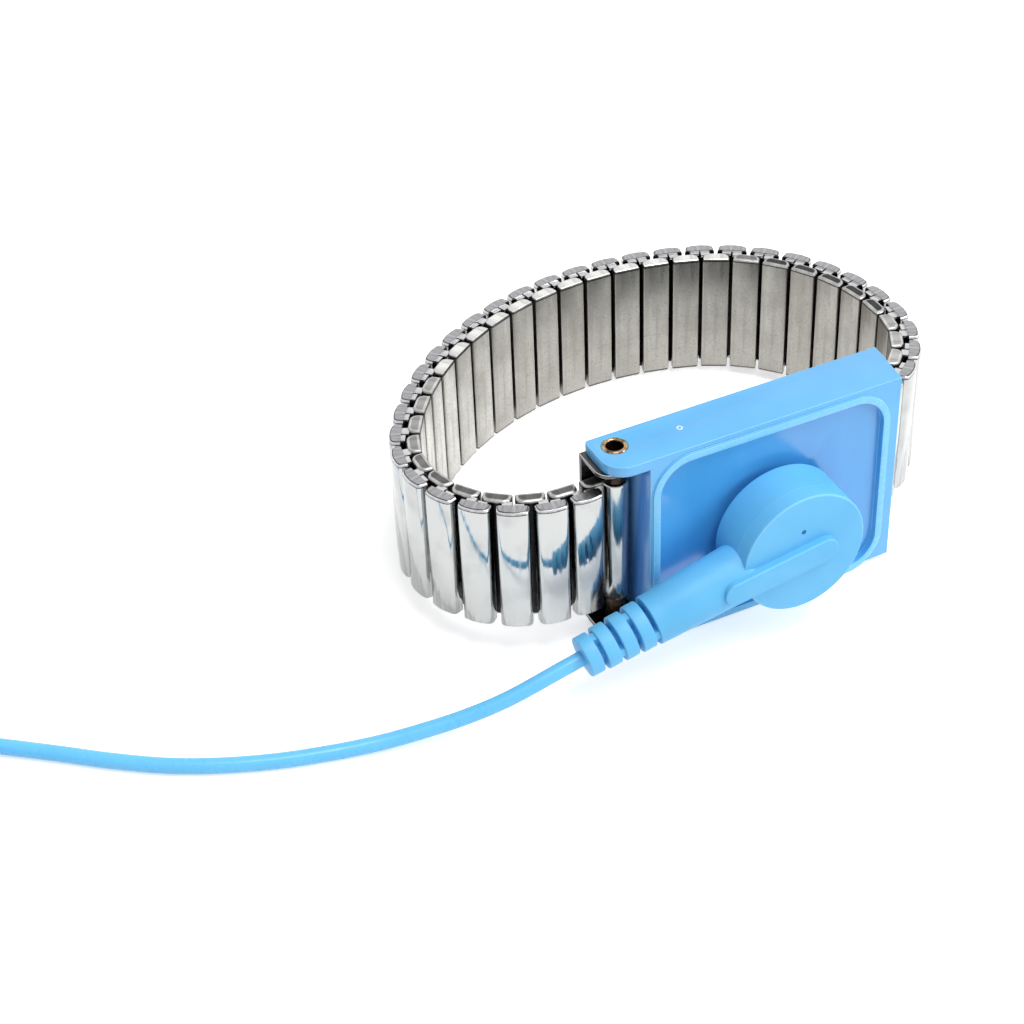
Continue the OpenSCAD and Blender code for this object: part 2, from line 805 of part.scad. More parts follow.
module plug_core() {
    color("midnightblue")
        on_stud()
            difference() {
                translate([0, 0, core_back])
                    cylinder(h = core_h, r = core_r);
                translate([0, 0, core_back - eps])
                    cylinder(h = socket_back + socket_h + fit_gap - core_back + eps, r = socket_r + fit_gap);
                translate([0, 0, sleeve_axis])
                    rotate([0, 0, 180 + sleeve_slope])
                        rotate([0, 90, 0])
                            translate([0, 0, -lead_r - 0.1])
                                cylinder(h = head_r, r = lead_r + 0.1);
                translate([0, 0, socket_back + socket_h])
                    cylinder(h = sleeve_axis - socket_back - socket_h, r = lead_r + 0.1);
            }
}

module safety_resistor() {
    color("tan") {
        along_sleeve() {
            translate([0, 0, resistor_start])
                cylinder(h = resistor_len, r = resistor_r);
            translate([0, 0, -lead_r])
                cylinder(h = crimp_start + 0.5 + lead_r, r = lead_r);
        }
        on_stud()
            translate([0, 0, socket_back + socket_h])
                cylinder(h = sleeve_axis - socket_back - socket_h, r = lead_r * 0.9);
    }
}

module splice_crimp() {
    color("silver")
        along_sleeve()
            difference() {
                translate([0, 0, crimp_start])
                    cylinder(h = crimp_len, r = crimp_r);
                translate([0, 0, crimp_start - eps])
                    cylinder(h = crimp_len / 2, r = lead_r + bore_clear);
            }
}

// Round, slightly tapered body with softened rims
module plug_head() {
    front_r = head_r - head_draft;
    soft = 0.4;
    rotate_extrude(convexity = 4)
        polygon([
            [0, head_back],
            [head_r - soft / 2, head_back],
            [head_r, head_back + soft / 2],
            [front_r, head_face - soft],
            [front_r - soft * 0.3, head_face - soft * 0.3],
            [front_r - soft, head_face],
            [0, head_face]
        ]);
}

module plug_bar() {
    bar_base = sleeve_axis;
    rotate([0, 0, 180 + sleeve_slope])
        translate([bar_mid, 0, bar_base])
            rotate([0, 0, -bar_turn]) {
                translate([-bar_half, -bar_w / 2, 0])
                    cube([2 * bar_half, bar_w, bar_face - bar_base]);
                for (x = [-bar_half, bar_half])
                    translate([x, 0, 0])
                        cylinder(h = bar_face - bar_base, r = bar_w / 2);
            }
}

// Rings along z with slots between them; the webs that join them lie crosswise in turn
module strain_relief() {
    slot_t = ring_pitch - ring_t;
    for (i = [0:ring_count - 1]) {
        r = ring_r + (ring_end_r - ring_r) * i / (ring_count - 1);
        translate([0, 0, ring_start + i * ring_pitch])
            cylinder(h = ring_t, r = r);
        translate([0, 0, ring_start + i * ring_pitch - slot_t - eps])
            intersection() {
                cylinder(h = slot_t + 2 * eps, r = r - 0.15);
                rotate([0, 0, i % 2 == 0 ? 0 : 90])
                    translate([-r, -bridge_w / 2, -eps])
                        cube([2 * r, bridge_w, slot_t + 4 * eps]);
            }
    }
    translate([0, 0, sleeve_len - 1])
        cylinder(h = relief_end - sleeve_len + 1 - ring_t / 2, r = cord_r + 0.45);
}

module plug_cover() {
    color("dodgerblue")
        difference() {
            union() {
                on_stud() {
                    plug_head();
                    plug_bar();
                }
                along_sleeve() {
                    translate([0, 0, head_r - sleeve_root])
                        sphere(sleeve_r);
                    translate([0, 0, head_r - sleeve_root])
                        cylinder(h = sleeve_len - head_r + sleeve_root, r1 = sleeve_r, r2 = sleeve_end_r);
                    strain_relief();
                }
            }
            on_stud() {
                translate([0, 0, head_back - eps])
                    cylinder(h = core_back - head_back + 2 * eps, r = socket_r + fit_gap);
                translate([0, 0, core_back])
                    cylinder(h = core_h + fit_gap, r = core_r + fit_gap);
                translate([vent_side, vent_off, head_face - 1.2])
                    cylinder(h = 2, r = vent_r);
            }
            along_sleeve() {
                translate([0, 0, resistor_start - fit_gap])
                    cylinder(h = resistor_len + 2 * fit_gap, r = resistor_r + fit_gap);
                translate([0, 0, core_r - 1])
                    cylinder(h = crimp_end - core_r, r = lead_r + 0.1);
                translate([0, 0, crimp_start - fit_gap])
                    cylinder(h = relief_end, r = crimp_r + fit_gap);
            }
        }
}

// ---- Cord ----

function unit(v) = v / norm(v);
function along(p, i) = unit(p[min(i + 1, len(p) - 1)] - p[max(i - 1, 0)]);

// Ring of n points round point i of route p, on a frame that keeps one side level
function ring_at(p, i, n, r, dir) = let (
    side = unit(cross(dir, [0, 0, 1])),
    up = cross(side, dir)
) [for (a = [0:n - 1]) p[i] + r * (cos(360 * a / n) * side + sin(360 * a / n) * up)];

// A tube of n sides swept along route p, its two ends square to the directions given
module tube(p, n, r, first_dir, last_dir) {
    count = len(p);
    points = [
        for (i = [0:count - 1])
            let (dir = i == 0 ? first_dir : i == count - 1 ? last_dir : along(p, i))
            each ring_at(p, i, n, r, dir)
    ];
    sides = [
        for (i = [0:count - 2], a = [0:n - 1])
            let (b = (a + 1) % n, q = i * n)
            each [[q + a, q + b, q + n + b], [q + a, q + n + b, q + n + a]]
    ];
    caps = [
        for (a = [1:n - 2])
            each [[0, a + 1, a], [(count - 1) * n, (count - 1) * n + a, (count - 1) * n + a + 1]]
    ];
    polyhedron(points = points, faces = [for (f = concat(sides, caps)) [f[0], f[2], f[1]]], convexity = 10);
}

// A smooth route through hand-chosen points, with m steps between each pair
function smooth(p, m) = concat(
    [
        for (i = [0:len(p) - 2], j = [0:m - 1])
            let (
                a = p[max(i - 1, 0)],
                b = p[i],
                c = p[i + 1],
                d = p[min(i + 2, len(p) - 1)],
                t = j / m
            )
            b + t / 2 * (c - a) + t * t * (a - 2.5 * b + 2 * c - 0.5 * d)
                + t * t * t * (1.5 * (b - c) + 0.5 * (d - a))
    ],
    [p[len(p) - 1]]
);
meeting_dir = unit(run_route[1] - lead_route[len(lead_route) - 2]);
entry_dir = [-sin(coil_from), cos(coil_from), 0];

module cord_lead() {
    color("lightskyblue")
        tube(smooth(lead_route, 2), 8, cord_r, unit(lead_route[1] - lead_route[0]), meeting_dir);
}

module cord_run() {
    color("lightskyblue")
        tube(smooth(run_route, 2), 8, cord_r, meeting_dir, entry_dir);
}

module cord_coil() {
    color("lightskyblue")
        tube(concat(coil_points, tail_points, [tail_end]), 6, cord_r, entry_dir, [-1, 0, 0]);
}

// The tie is a flat band round the bundle, on the side away from the strap
module cord_tie() {
    bundle_w = layer_turns * turn_pitch + cord_d;
    bundle_h = (layers - 1) * turn_pitch + cord_d;
    color("black")
        translate([coil_mid[0], coil_mid[1], 0])
            rotate([0, 0, 250])
                translate([coil_r, tie_w / 2, coil_lift + bundle_h / 2])
                    rotate([90, 0, 0])
                        linear_extrude(tie_w)
                            difference() {
                                square([bundle_w + 2 * (tie_gap + tie_t), bundle_h + 2 * (coil_lift - 0)],
                                    center = true);
                                square([bundle_w + 2 * tie_gap, bundle_h + 2 * (coil_lift - tie_t)],
                                    center = true);
                            }
}

// ---- Banana plug ----

// Puts a piece that is drawn along z, from the cord's end outward, beside the coil
module on_tail() {
    translate(tail_to)
        rotate([0, -90, 0])
            children();
}

grip_start = 0;
grip_end = grip_start + grip_len;
pin_root = grip_end - 8;
shank_r = banana_r - 0.3;

module banana_pin() {
    color("silver")
        on_tail()
            difference() {
                union() {
                    translate([0, 0, pin_root])
                        cylinder(h = grip_end - pin_root + eps, r = shank_r);
                    translate([0, 0, grip_end])
                        cylinder(h = banana_len - 1.2, r = banana_r);
                    translate([0, 0, grip_end + banana_len - 1.2])
                        cylinder(h = 1.2, r1 = banana_r, r2 = banana_r - 0.8);
                }
                for (a = [45, 135])
                    rotate([0, 0, a])
                        translate([-banana_r - eps, -slot_w / 2, grip_end + banana_len - slot_len])
                            cube([2 * banana_r + 2 * eps, slot_w, slot_len + eps]);
                translate([0, 0, pin_root - eps])
                    cylinder(h = 4, r = 1.1 + bore_clear);
            }
}

// A short crimp joins the cord's conductor to the pin
module banana_crimp() {
    color("goldenrod")
        on_tail()
            translate([0, 0, cord_d + 0.1])
                cylinder(h = pin_root + 3.8 - cord_d - 0.1, r = 1.1);
}

module banana_grip() {
    color("black")
        on_tail()
            difference() {
                rotate_extrude(convexity = 4)
                    polygon([
                        [0, grip_start],
                        [2, grip_start],
                        [2.6, grip_start + 5],
                        [grip_r - 0.6, grip_start + 8],
                        [grip_r - 0.3, grip_end - 6],
                        [grip_r, grip_end - 4.5],
                        [grip_r, grip_end - 0.6],
                        [grip_r - 0.6, grip_end],
                        [0, grip_end]
                    ]);
                translate([0, 0, -eps])
                    cylinder(h = cord_d + 0.1, r = cord_r + fit_gap);
                translate([0, 0, cord_d])
                    cylinder(h = grip_len, r = 1.1 + fit_gap);
                translate([0, 0, pin_root])
                    cylinder(h = grip_len, r = shank_r + fit_gap);
            }
}

case_shell();
clasp_channel();
hinge_rivet();
near_end_link();
far_pin();
far_end_link();
snap_stud();
stud_rivet();
contact_strip();
for (k = [1:link_count])
    link(k);
snap_socket();
socket_spring();
plug_core();
safety_resistor();
splice_crimp();
plug_cover();
cord_lead();
cord_run();
cord_coil();
cord_tie();
banana_pin();
banana_crimp();
banana_grip();
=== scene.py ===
import json
import math

import bmesh
import bpy
import numpy as np
from mathutils import Matrix, Vector


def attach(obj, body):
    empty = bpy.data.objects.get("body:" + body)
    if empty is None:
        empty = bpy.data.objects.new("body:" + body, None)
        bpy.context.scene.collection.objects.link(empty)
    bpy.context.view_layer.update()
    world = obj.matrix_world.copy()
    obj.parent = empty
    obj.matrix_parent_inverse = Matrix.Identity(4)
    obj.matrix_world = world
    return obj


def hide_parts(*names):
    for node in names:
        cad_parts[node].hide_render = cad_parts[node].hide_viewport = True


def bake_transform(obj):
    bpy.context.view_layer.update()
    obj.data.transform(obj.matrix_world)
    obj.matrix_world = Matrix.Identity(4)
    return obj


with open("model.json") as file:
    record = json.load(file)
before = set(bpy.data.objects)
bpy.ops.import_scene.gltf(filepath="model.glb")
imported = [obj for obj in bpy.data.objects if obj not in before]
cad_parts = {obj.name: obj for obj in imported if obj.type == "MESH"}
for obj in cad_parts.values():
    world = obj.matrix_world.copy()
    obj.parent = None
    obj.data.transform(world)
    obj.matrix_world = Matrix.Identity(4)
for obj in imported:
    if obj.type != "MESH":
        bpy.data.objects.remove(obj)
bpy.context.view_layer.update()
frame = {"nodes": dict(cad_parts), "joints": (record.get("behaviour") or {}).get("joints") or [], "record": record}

# ---------------------------------------------------------------- sizes, in millimetres
MM = 0.001

# Case, with a recess in front and a bead round it
CASE_LEN, CASE_H = 40.4, 28.0
RECESS_FACE = 6.6
BEAD_FACE = 7.5

# Rivet, cross pin and the knuckles round them
PIN_INSET, PIN_DEPTH = 2.75, 2.5
RIVET_BORE, RIM_R, RIM_T, RIM_PROUD = 1.05, 1.65, 0.3, 0.15
BARREL_R, NEAR_BORE, FAR_BORE = 1.7, 1.35, 1.05

# Band of outer shells and inner boxes, and the degrees that its stretches turn
BAND_W = 18.0
LINK_COUNT = 33
OUTER_T, ROW_GAP, INNER_T, ROW_SHIFT = 1.6, 0.65, 1.8, 0.15
OUTER_GAP, INNER_GAP = 0.3, 0.7
CROWN_DROP = 0.35
LEAD_IN = 6.0
LEFT_R, LAST_R = 14.1, 16.1
BAND_TURNS = (0.0, 118.5, 83.0, 73.5, 78.0)

# Snap plug: round head, core, bar, sleeve, strain relief and vent
STUD_X, STUD_Z = 22.5, 12.5
HEAD_R, HEAD_DRAFT, HEAD_T = 8.65, 0.15, 7.0
HEAD_BACK = BEAD_FACE + 0.3
HEAD_FACE = HEAD_BACK + HEAD_T
CORE_R, CORE_BACK, CORE_TOP = 6.25, 8.6, 12.65
SOCKET_HOLE = 4.05
BAR_W, BAR_H, BAR_FAR, BAR_NEAR, BAR_TURN = 3.3, 1.1, 2.5, 10.2, 4.0
BAR_FACE = HEAD_FACE + BAR_H
SLEEVE_SLOPE = 13.2
SLEEVE_AXIS = HEAD_FACE - 2.8
SLEEVE_R, SLEEVE_ROOT, SLEEVE_END_R, SLEEVE_LEN = 3.7, 0.4, 3.25, 20.8
RING_COUNT, RING_PITCH, RING_T = 4, 2.35, 1.75
RING_R, RING_END_R = 3.1, 2.65
WEB_W, SPINE_R, CORD_HOLE = 1.2, 1.45, 0.9
RING_START = SLEEVE_LEN + RING_PITCH - RING_T
RELIEF_END = RING_START + (RING_COUNT - 1) * RING_PITCH + RING_T
VENT_R, VENT_OFF, VENT_SIDE = 0.35, 3.4, -0.3
CORD_START = 17.0

# Cord, its coil and the tie
CORD_D = 2.0
CORD_R = CORD_D / 2
TURN_PITCH = 2.45
COIL_R, COIL_TURNS, LAYERS = 12.1, 22, 4
COIL_FROM = 56.0
TIE_T, TIE_W, TIE_GAP, TIE_SLACK = 0.35, 4.0, 0.3, 0.05
TIE_AT = 250.0

# Banana plug's grip and the fine rings on it
GRIP_R, GRIP_LEN = 4.5, 30.0
GRIP_RINGS, GRIP_RING_FROM, GRIP_RING_PITCH = 6, 10.0, 2.2

# Levels of the band's two rows, outward from its middle line
BAND_T = OUTER_T + ROW_GAP + INNER_T
BAND_LO = (CASE_H - BAND_W) / 2
OUT_FACE = BAND_T / 2 + ROW_SHIFT
OUT_FLOOR = OUT_FACE - OUTER_T
IN_TOP = OUT_FLOOR - ROW_GAP
IN_FACE = ROW_SHIFT - BAND_T / 2

# ---------------------------------------------------------------- places
joint = {j["name"]: j for j in frame["joints"]}
mount = {m["name"]: m for m in frame["record"]["mounts"]}
_, LEAN_COS, LEAN_SIN = (abs(v) for v in joint["plug_pull"]["axis"])
PLATE_X = 19.0
plate_x, plate_y, _ = (v / MM for v in mount["skin_plate"]["pos_m"])
MID_X = PLATE_X - plate_x
MID_Y = LEAN_SIN * CASE_H / 2 - plate_y


def leaning(p):
    """Points of the upright case, leaned back on its lower edge, in metres from the strap's middle:
    y becomes y cos + z sin of the lean, and z becomes z cos - y sin."""
    x, y, z = np.moveaxis(np.asarray(p, float), -1, 0)
    return MM * np.stack(
        [x - MID_X, LEAN_COS * y + LEAN_SIN * z - MID_Y, LEAN_COS * z - LEAN_SIN * y], -1
    )


def lying(p):
    """Points that are already in the strap's own frame, made metres."""
    return MM * np.asarray(p, float)


def on_stud(p):
    """x and y across the stud, z forward from the skin side, as points of the upright case."""
    x, y, z = np.moveaxis(np.asarray(p, float), -1, 0)
    return np.stack([STUD_X + x, -z, STUD_Z + y], -1)


def on_sleeve(p):
    """z runs out along the cable sleeve, turned by its slope, x towards the skin side and y across."""
    x, y, z = np.moveaxis(np.asarray(p, float), -1, 0)
    turn = math.radians(180 + SLEEVE_SLOPE)
    c, s = math.cos(turn), math.sin(turn)
    return on_stud(np.stack([z * c - y * s, z * s + y * c, SLEEVE_AXIS - x], -1))


def at_pin(x, y):
    """A move of points from round the upright axis to round a pin."""
    return lambda p: np.asarray(p, float) + np.array([x, y, 0.0])


# The band is a straight run and four arcs. The rear and right radii close the loop on the far pin.
def heading_in(i):
    """The band's heading where stretch i starts: a half turn less the turns before it."""
    return math.radians(180 - sum(BAND_TURNS[:i]))


def arc_chord(i):
    """The step from end to end of arc i, for a radius of 1."""
    a, b = heading_in(i), heading_in(i + 1)
    return np.array([math.sin(a) - math.sin(b), math.cos(b) - math.cos(a)])


NEAR_PIN = np.array([PIN_INSET, -PIN_DEPTH])
FAR_PIN = np.array([CASE_LEN - PIN_INSET, -PIN_DEPTH])
to_close = FAR_PIN - NEAR_PIN + [LEAD_IN, 0] - LEFT_R * arc_chord(1) - LAST_R * arc_chord(4)
REAR_R, RIGHT_R = np.linalg.solve(np.column_stack([arc_chord(2), arc_chord(3)]), to_close)
BAND_RADII = (0.0, LEFT_R, REAR_R, RIGHT_R, LAST_R)
BAND_LENGTHS = [LEAD_IN] + [BAND_RADII[i] * math.radians(BAND_TURNS[i]) for i in range(1, 5)]
PITCH = sum(BAND_LENGTHS) / (LINK_COUNT + 1)
OUTER_W = PITCH - OUTER_GAP
INNER_W = PITCH - INNER_GAP


def band_place(s):
    """x, y and heading at s along the band's middle line: the stretches before s, then what is left."""
    x, y, h = *NEAR_PIN, heading_in(0)
    for r, length in zip(BAND_RADII, BAND_LENGTHS):
        d = s if length is BAND_LENGTHS[-1] else min(s, length)
        if r == 0:
            x, y = x + d * math.cos(h), y + d * math.sin(h)
        else:
            g = h - d / r
            x, y, h = x + r * (math.sin(h) - math.sin(g)), y + r * (math.cos(g) - math.cos(h)), g
        s -= d
        if s <= 0:
            break
    return x, y, h


def on_band(s):
    """x runs along the band at s, y outward from the loop, z up from the band's lower edge."""
    px, py, h = band_place(s)
    c, d = math.cos(h), math.sin(h)

    def place(p):
        x, y, z = np.moveaxis(np.asarray(p, float), -1, 0)
        return np.stack([px + x * c - y * d, py + x * d + y * c, BAND_LO + z], -1)

    return place


# ---------------------------------------------------------------- surfaces
def fillet(r, height, steps=5, up=True):
    """Quarter round that ends a solid at this height: pairs of inset r(1 - cos a) and height less
    r(1 - sin a), as a goes from 0 to a quarter turn."""
    a = np.linspace(0, math.pi / 2, steps)
    sign = 1 if up else -1
    pairs = list(zip(r * (1 - np.cos(a)), height - sign * r * (1 - np.sin(a))))
    return pairs if up else pairs[::-1]


def rounded_outline(x0, y0, x1, y1, radii, inset=0.0, steps=6):
    """Rectangle with round corners, one radius or four from the lower left, drawn in by inset."""
    a = np.linspace(0, math.pi / 2, steps)
    out = []
    for radius, (cx, cy, sx, sy, start) in zip(
        np.broadcast_to(radii, 4),
        (
            (x0, y0, 1, 1, math.pi),
            (x1, y0, -1, 1, 1.5 * math.pi),
            (x1, y1, -1, -1, 0.0),
            (x0, y1, 1, -1, 0.5 * math.pi),
        ),
    ):
        r = max(radius - inset, 0.01)
        mx, my = cx + sx * (inset + r), cy + sy * (inset + r)
        out.append(np.column_stack([mx + r * np.cos(start + a), my + r * np.sin(start + a)]))
    return np.concatenate(out)


def stacked(outline, pairs):
    """Rows of one outline, drawn in and raised by each pair of inset and height."""
    rows = []
    for inset, height in pairs:
        flat = outline(inset)
        rows.append(np.column_stack([flat, np.full(len(flat), height)]))
    return np.array(rows)


def turned(profile, sides=48):
    """Rows of circles: each pair of the profile is a radius and a height."""
    r, h = np.asarray(profile, float).T
    a = np.linspace(0, 2 * math.pi, sides, endpoint=False)
    level = np.broadcast_to(h[:, None], (len(r), sides))
    return np.stack([r[:, None] * np.cos(a), r[:, None] * np.sin(a), level], -1)


def lathe(*parts):
    """A profile from single pairs and lists of pairs of radius and height."""
    out = []
    for part in parts:
        out.extend(part if isinstance(part, list) else [part])
    return out


def rim(radius, height, soft, up=True, inner=False, steps=5):
    """A rounded turn in a lathe profile between a wall of this radius and a face at this height."""
    side = 1 if inner else -1
    return [(radius + side * i, h) for i, h in fillet(soft, height, steps, up)]


def swept(path, radius, sides=16):
    """Rows of circles square to a path. Each circle's side is level, so the tube doesn't twist."""
    p = np.asarray(path, float)
    along = np.gradient(p, axis=0)
    along /= np.linalg.norm(along, axis=1, keepdims=True)
    side = np.cross(along, [0, 0, 1.0])
    side /= np.linalg.norm(side, axis=1, keepdims=True)
    up = np.cross(side, along)
    a = np.linspace(0, 2 * math.pi, sides, endpoint=False)
    r = np.broadcast_to(radius, len(p))[:, None, None]
    return p[:, None] + r * (np.cos(a)[:, None] * side[:, None] + np.sin(a)[:, None] * up[:, None])


class Piece:
    """Gathers surfaces in millimetres and makes one closed, smooth mesh of them."""

    def __init__(self, name, settle=leaning):
        self.name, self.settle = name, settle
        self.points, self.local, self.faces, self.finish, self.count = [], [], [], [], 0

    def add(self, grid, place=None, finish=0, loop=False):
        """Adds rows of points whose columns close round. Both ends are capped, or loop joins the last
        row to the first. Finish is one material or one for each strip between rows."""
        grid = np.asarray(grid, float)
        self.local.append(grid.reshape(-1, 3) * MM)
        grid = grid if place is None else place(grid)
        rows, cols = grid.shape[:2]
        index = self.count + np.arange(rows * cols).reshape(rows, cols)
        first, second = (index, np.roll(index, -1, 0)) if loop else (index[:-1], index[1:])
        quads = np.stack([first, np.roll(first, -1, 1), np.roll(second, -1, 1), second], -1)
        faces = quads.reshape(-1, 4).tolist()
        strips = np.broadcast_to(finish, len(first))
        kinds = np.repeat(strips, cols).tolist()
        if not loop:
            faces += [index[0][::-1].tolist(), index[-1].tolist()]
            kinds += [int(strips[0]), int(strips[-1])]
        self.points.append(self.settle(grid.reshape(-1, 3)))
        self.faces += faces
        self.finish += kinds
        self.count += rows * cols
        return self

    def make(self, body, slot, finishes, replaces=(), soft_angle=40, glint=None):
        """Turns the gathered surfaces into an object that rides on a body. Each point keeps its place
        before it was set on the strap as "lay", in metres, and glint is the piece's painted glint, kept on its
        points."""
        mesh = bpy.data.meshes.new(self.name)
        mesh.from_pydata(np.concatenate(self.points), [], self.faces)
        mesh.polygons.foreach_set("material_index", self.finish)
        lay = mesh.attributes.new("lay", "FLOAT_VECTOR", "POINT")
        lay.data.foreach_set("vector", np.concatenate(self.local).ravel())
        if glint is not None:
            shine = mesh.attributes.new("glint", "FLOAT", "POINT")
            shine.data.foreach_set("value", np.full(self.count, glint))
        obj = new_object(self.name, mesh, finishes)
        tidy_mesh(mesh, soft_angle)
        if body:
            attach(obj, body)
        if replaces:
            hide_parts(*replaces)
        return obj


def new_object(name, mesh, finishes):
    """An object of this mesh in the scene, with its materials in order."""
    obj = bpy.data.objects.new(name, mesh)
    bpy.context.scene.collection.objects.link(obj)
    for material in finishes:
        mesh.materials.append(material)
    return obj


def tidy_mesh(mesh, soft_angle):
    """Merges doubles, turns the faces outward and keeps edges above the angle crisp."""
    bm = bmesh.new()
    bm.from_mesh(mesh)
    bmesh.ops.remove_doubles(bm, verts=bm.verts, dist=2e-6)
    bmesh.ops.recalc_face_normals(bm, faces=bm.faces)
    bm.to_mesh(mesh)
    bm.free()
    mesh.shade_smooth()
    mesh.set_sharp_from_angle(angle=math.radians(soft_angle))


# ---------------------------------------------------------------- shader maths
class Value:
    """A shader socket that works in Python expressions: each sign adds its Math node."""

    def __init__(self, sheet, socket):
        self.sheet, self.socket = sheet, socket

    def _math(self, operation, a, b):
        return self.sheet.node("Math", {"operation": operation}, {0: a, 1: b})

    def __add__(self, other):
        return self._math("ADD", self, other)

    def __radd__(self, other):
        return self._math("ADD", other, self)

    def __mul__(self, other):
        return self._math("MULTIPLY", self, other)

    def __rmul__(self, other):
        return self._math("MULTIPLY", other, self)


class Finish:
    """One material on the Principled shader."""

    def __init__(self, name, **constants):
        self.material = bpy.data.materials.new(name)
        self.material.use_nodes = True
        self.tree = self.material.node_tree
        self.shader = self.tree.nodes["Principled BSDF"]
        for key, value in constants.items():
            self.shader.inputs[key.replace("_", " ")].default_value = value

    def node(self, kind, settings=None, sockets=None, out=0):
        """Any node: settings are set first, then the sockets' values or links."""
        n = self.tree.nodes.new("ShaderNode" + kind)
        for key, value in (settings or {}).items():
            if key == "stops":
                for stop, (place, shade) in zip(n.color_ramp.elements, value):
                    stop.position, stop.color = place, shade
            else:
                setattr(n, key, value)
        for key, value in (sockets or {}).items():
            if isinstance(value, Value):
                self.tree.links.new(value.socket, n.inputs[key])
            else:
                n.inputs[key].default_value = value
        return Value(self, n.outputs[out])

    def feed(self, name, value):
        self.tree.links.new(value.socket, self.shader.inputs[name])

    def place(self, scale=(1, 1, 1), lay=False):
        """Object coordinates, or the point's own place on its piece."""
        if lay:
            where = self.node("Attribute", {"attribute_name": "lay"}, out=1)
        else:
            where = self.node("TexCoord", out="Object")
        return self.node("Mapping", {}, {"Vector": where, "Scale": scale})

    def noise(self, scale, detail=3.0, stretch=(1, 1, 1), lay=False):
        """Noise with features about 1/scale metres across."""
        return self.node(
            "TexNoise", {}, {"Vector": self.place(stretch, lay), "Scale": scale, "Detail": detail}
        )

    def band(self, value, low, high, to_low=0.0, to_high=1.0):
        """Value between low and high, spread from to_low to to_high and held there."""
        return self.node("MapRange", {}, {"Value": value, 1: low, 2: high, 3: to_low, 4: to_high})

    def mix(self, share, a, b):
        """Colour a turning into colour b as share goes from 0 to 1."""
        return self.node("Mix", {"data_type": "RGBA"}, {0: share, 6: a, 7: b}, out=2)

    def facing(self, out):
        """One part of the way the surface faces: 0 for x, 1 for y and 2 for z."""
        return self.node("SeparateXYZ", {}, {0: self.node("NewGeometry", out=1)}, out=out)

    def relief(self, height, strength, distance, nod=0.0):
        """Bumps, on a surface that may also nod towards the floor."""
        sockets = {"Height": height, "Strength": strength, "Distance": distance}
        if nod:
            level = self.node("NewGeometry", out=1)
            low = self.node("VectorMath", {"operation": "SUBTRACT"}, {0: level, 1: (0, 0, nod)})
            sockets["Normal"] = self.node("VectorMath", {"operation": "NORMALIZE"}, {0: low})
        self.feed("Normal", self.node("Bump", {}, sockets))


def rgb(r, g, b):
    """A screen colour from 0 to 255 as the shader's linear one."""
    lin = [((c / 255 + 0.055) / 1.055) ** 2.4 if c > 10 else c / 255 / 12.92 for c in (r, g, b)]
    return (*lin, 1.0)


def blue_case():
    """Glossy moulded plastic with faint flow marks and a little haze."""
    f = Finish("case_blue", IOR=1.52, Coat_Roughness=0.04)
    cloud = f.band(f.noise(90, 2), 0.35, 0.65)
    f.feed("Base Color", f.mix(cloud, rgb(84, 170, 228), rgb(94, 178, 234)))
    f.feed("Roughness", f.band(f.noise(400, 4), 0.3, 0.7, 0.16, 0.26))
    f.feed("Coat Weight", f.band(f.noise(60, 2), 0.3, 0.7, 0.25, 0.4))
    f.relief(f.noise(700, 3), 0.03, 0.0002)
    return f.material


def blue_panel():
    """The recess floor: polished, with faint upright streaks, in a deeper blue that is painted shade."""
    f = Finish("panel_blue_shaded", IOR=1.65, Coat_Roughness=0.1)
    streak = f.band(f.noise(160, 3, (1, 1, 0.12)), 0.35, 0.7)
    # The deeper blue is painted shade in the recess.
    f.feed("Base Color", f.mix(streak, rgb(66, 153, 219), rgb(76, 162, 226)))
    f.feed("Roughness", f.band(f.noise(300, 2), 0.3, 0.7, 0.2, 0.24))
    f.feed("Coat Weight", f.band(f.noise(60, 2), 0.3, 0.7, 0.1, 0.2))
    return f.material


def blue_wall():
    """The wall beside the hinge: polished, with upright bands of deeper and paler blue; the paler blue is a
    painted reflection.
    """
    f = Finish("wall_blue_sheen", IOR=1.75)
    band = f.band(f.noise(420, 2, (1, 1, 0.015)), 0.4, 0.6)
    # The paler blue stands in for reflected light: a painted reflection.
    f.feed("Base Color", f.mix(band, rgb(88, 152, 234), rgb(132, 190, 250)))
    f.feed("Roughness", f.band(f.noise(500, 4), 0.3, 0.7, 0.1, 0.2))
    return f.material


def soft_blue(name, dark, light, low=0.42, high=0.55):
    """Soft moulded vinyl with a fine satin grain."""
    f = Finish(name, IOR=1.47)
    cloud = f.band(f.noise(120, 3), 0.35, 0.65)
    f.feed("Base Color", f.mix(cloud, dark, light))
    f.feed("Roughness", f.band(f.noise(900, 4), 0.3, 0.7, low, high))
    f.relief(f.noise(2600, 3), 0.05, 0.00012)
    return f.material


def bright_chrome():
    """Mirror chrome, tipped a little to the floor, with fine upright marks and a few dull spots."""
    f = Finish("bright_chrome", Metallic=1.0)
    marks = f.noise(2600, 3, (1, 1, 0.04), True)
    dull = f.band(f.noise(260, 4), 0.5, 0.75)
    f.feed("Base Color", f.mix(dull, rgb(183, 185, 184), rgb(168, 170, 169)))
    f.feed("Roughness", f.band(marks, 0.3, 0.7, 0.06, 0.17) + dull * 0.06)
    f.relief(marks, 0.28, 0.00005, 0.15)
    return f.material


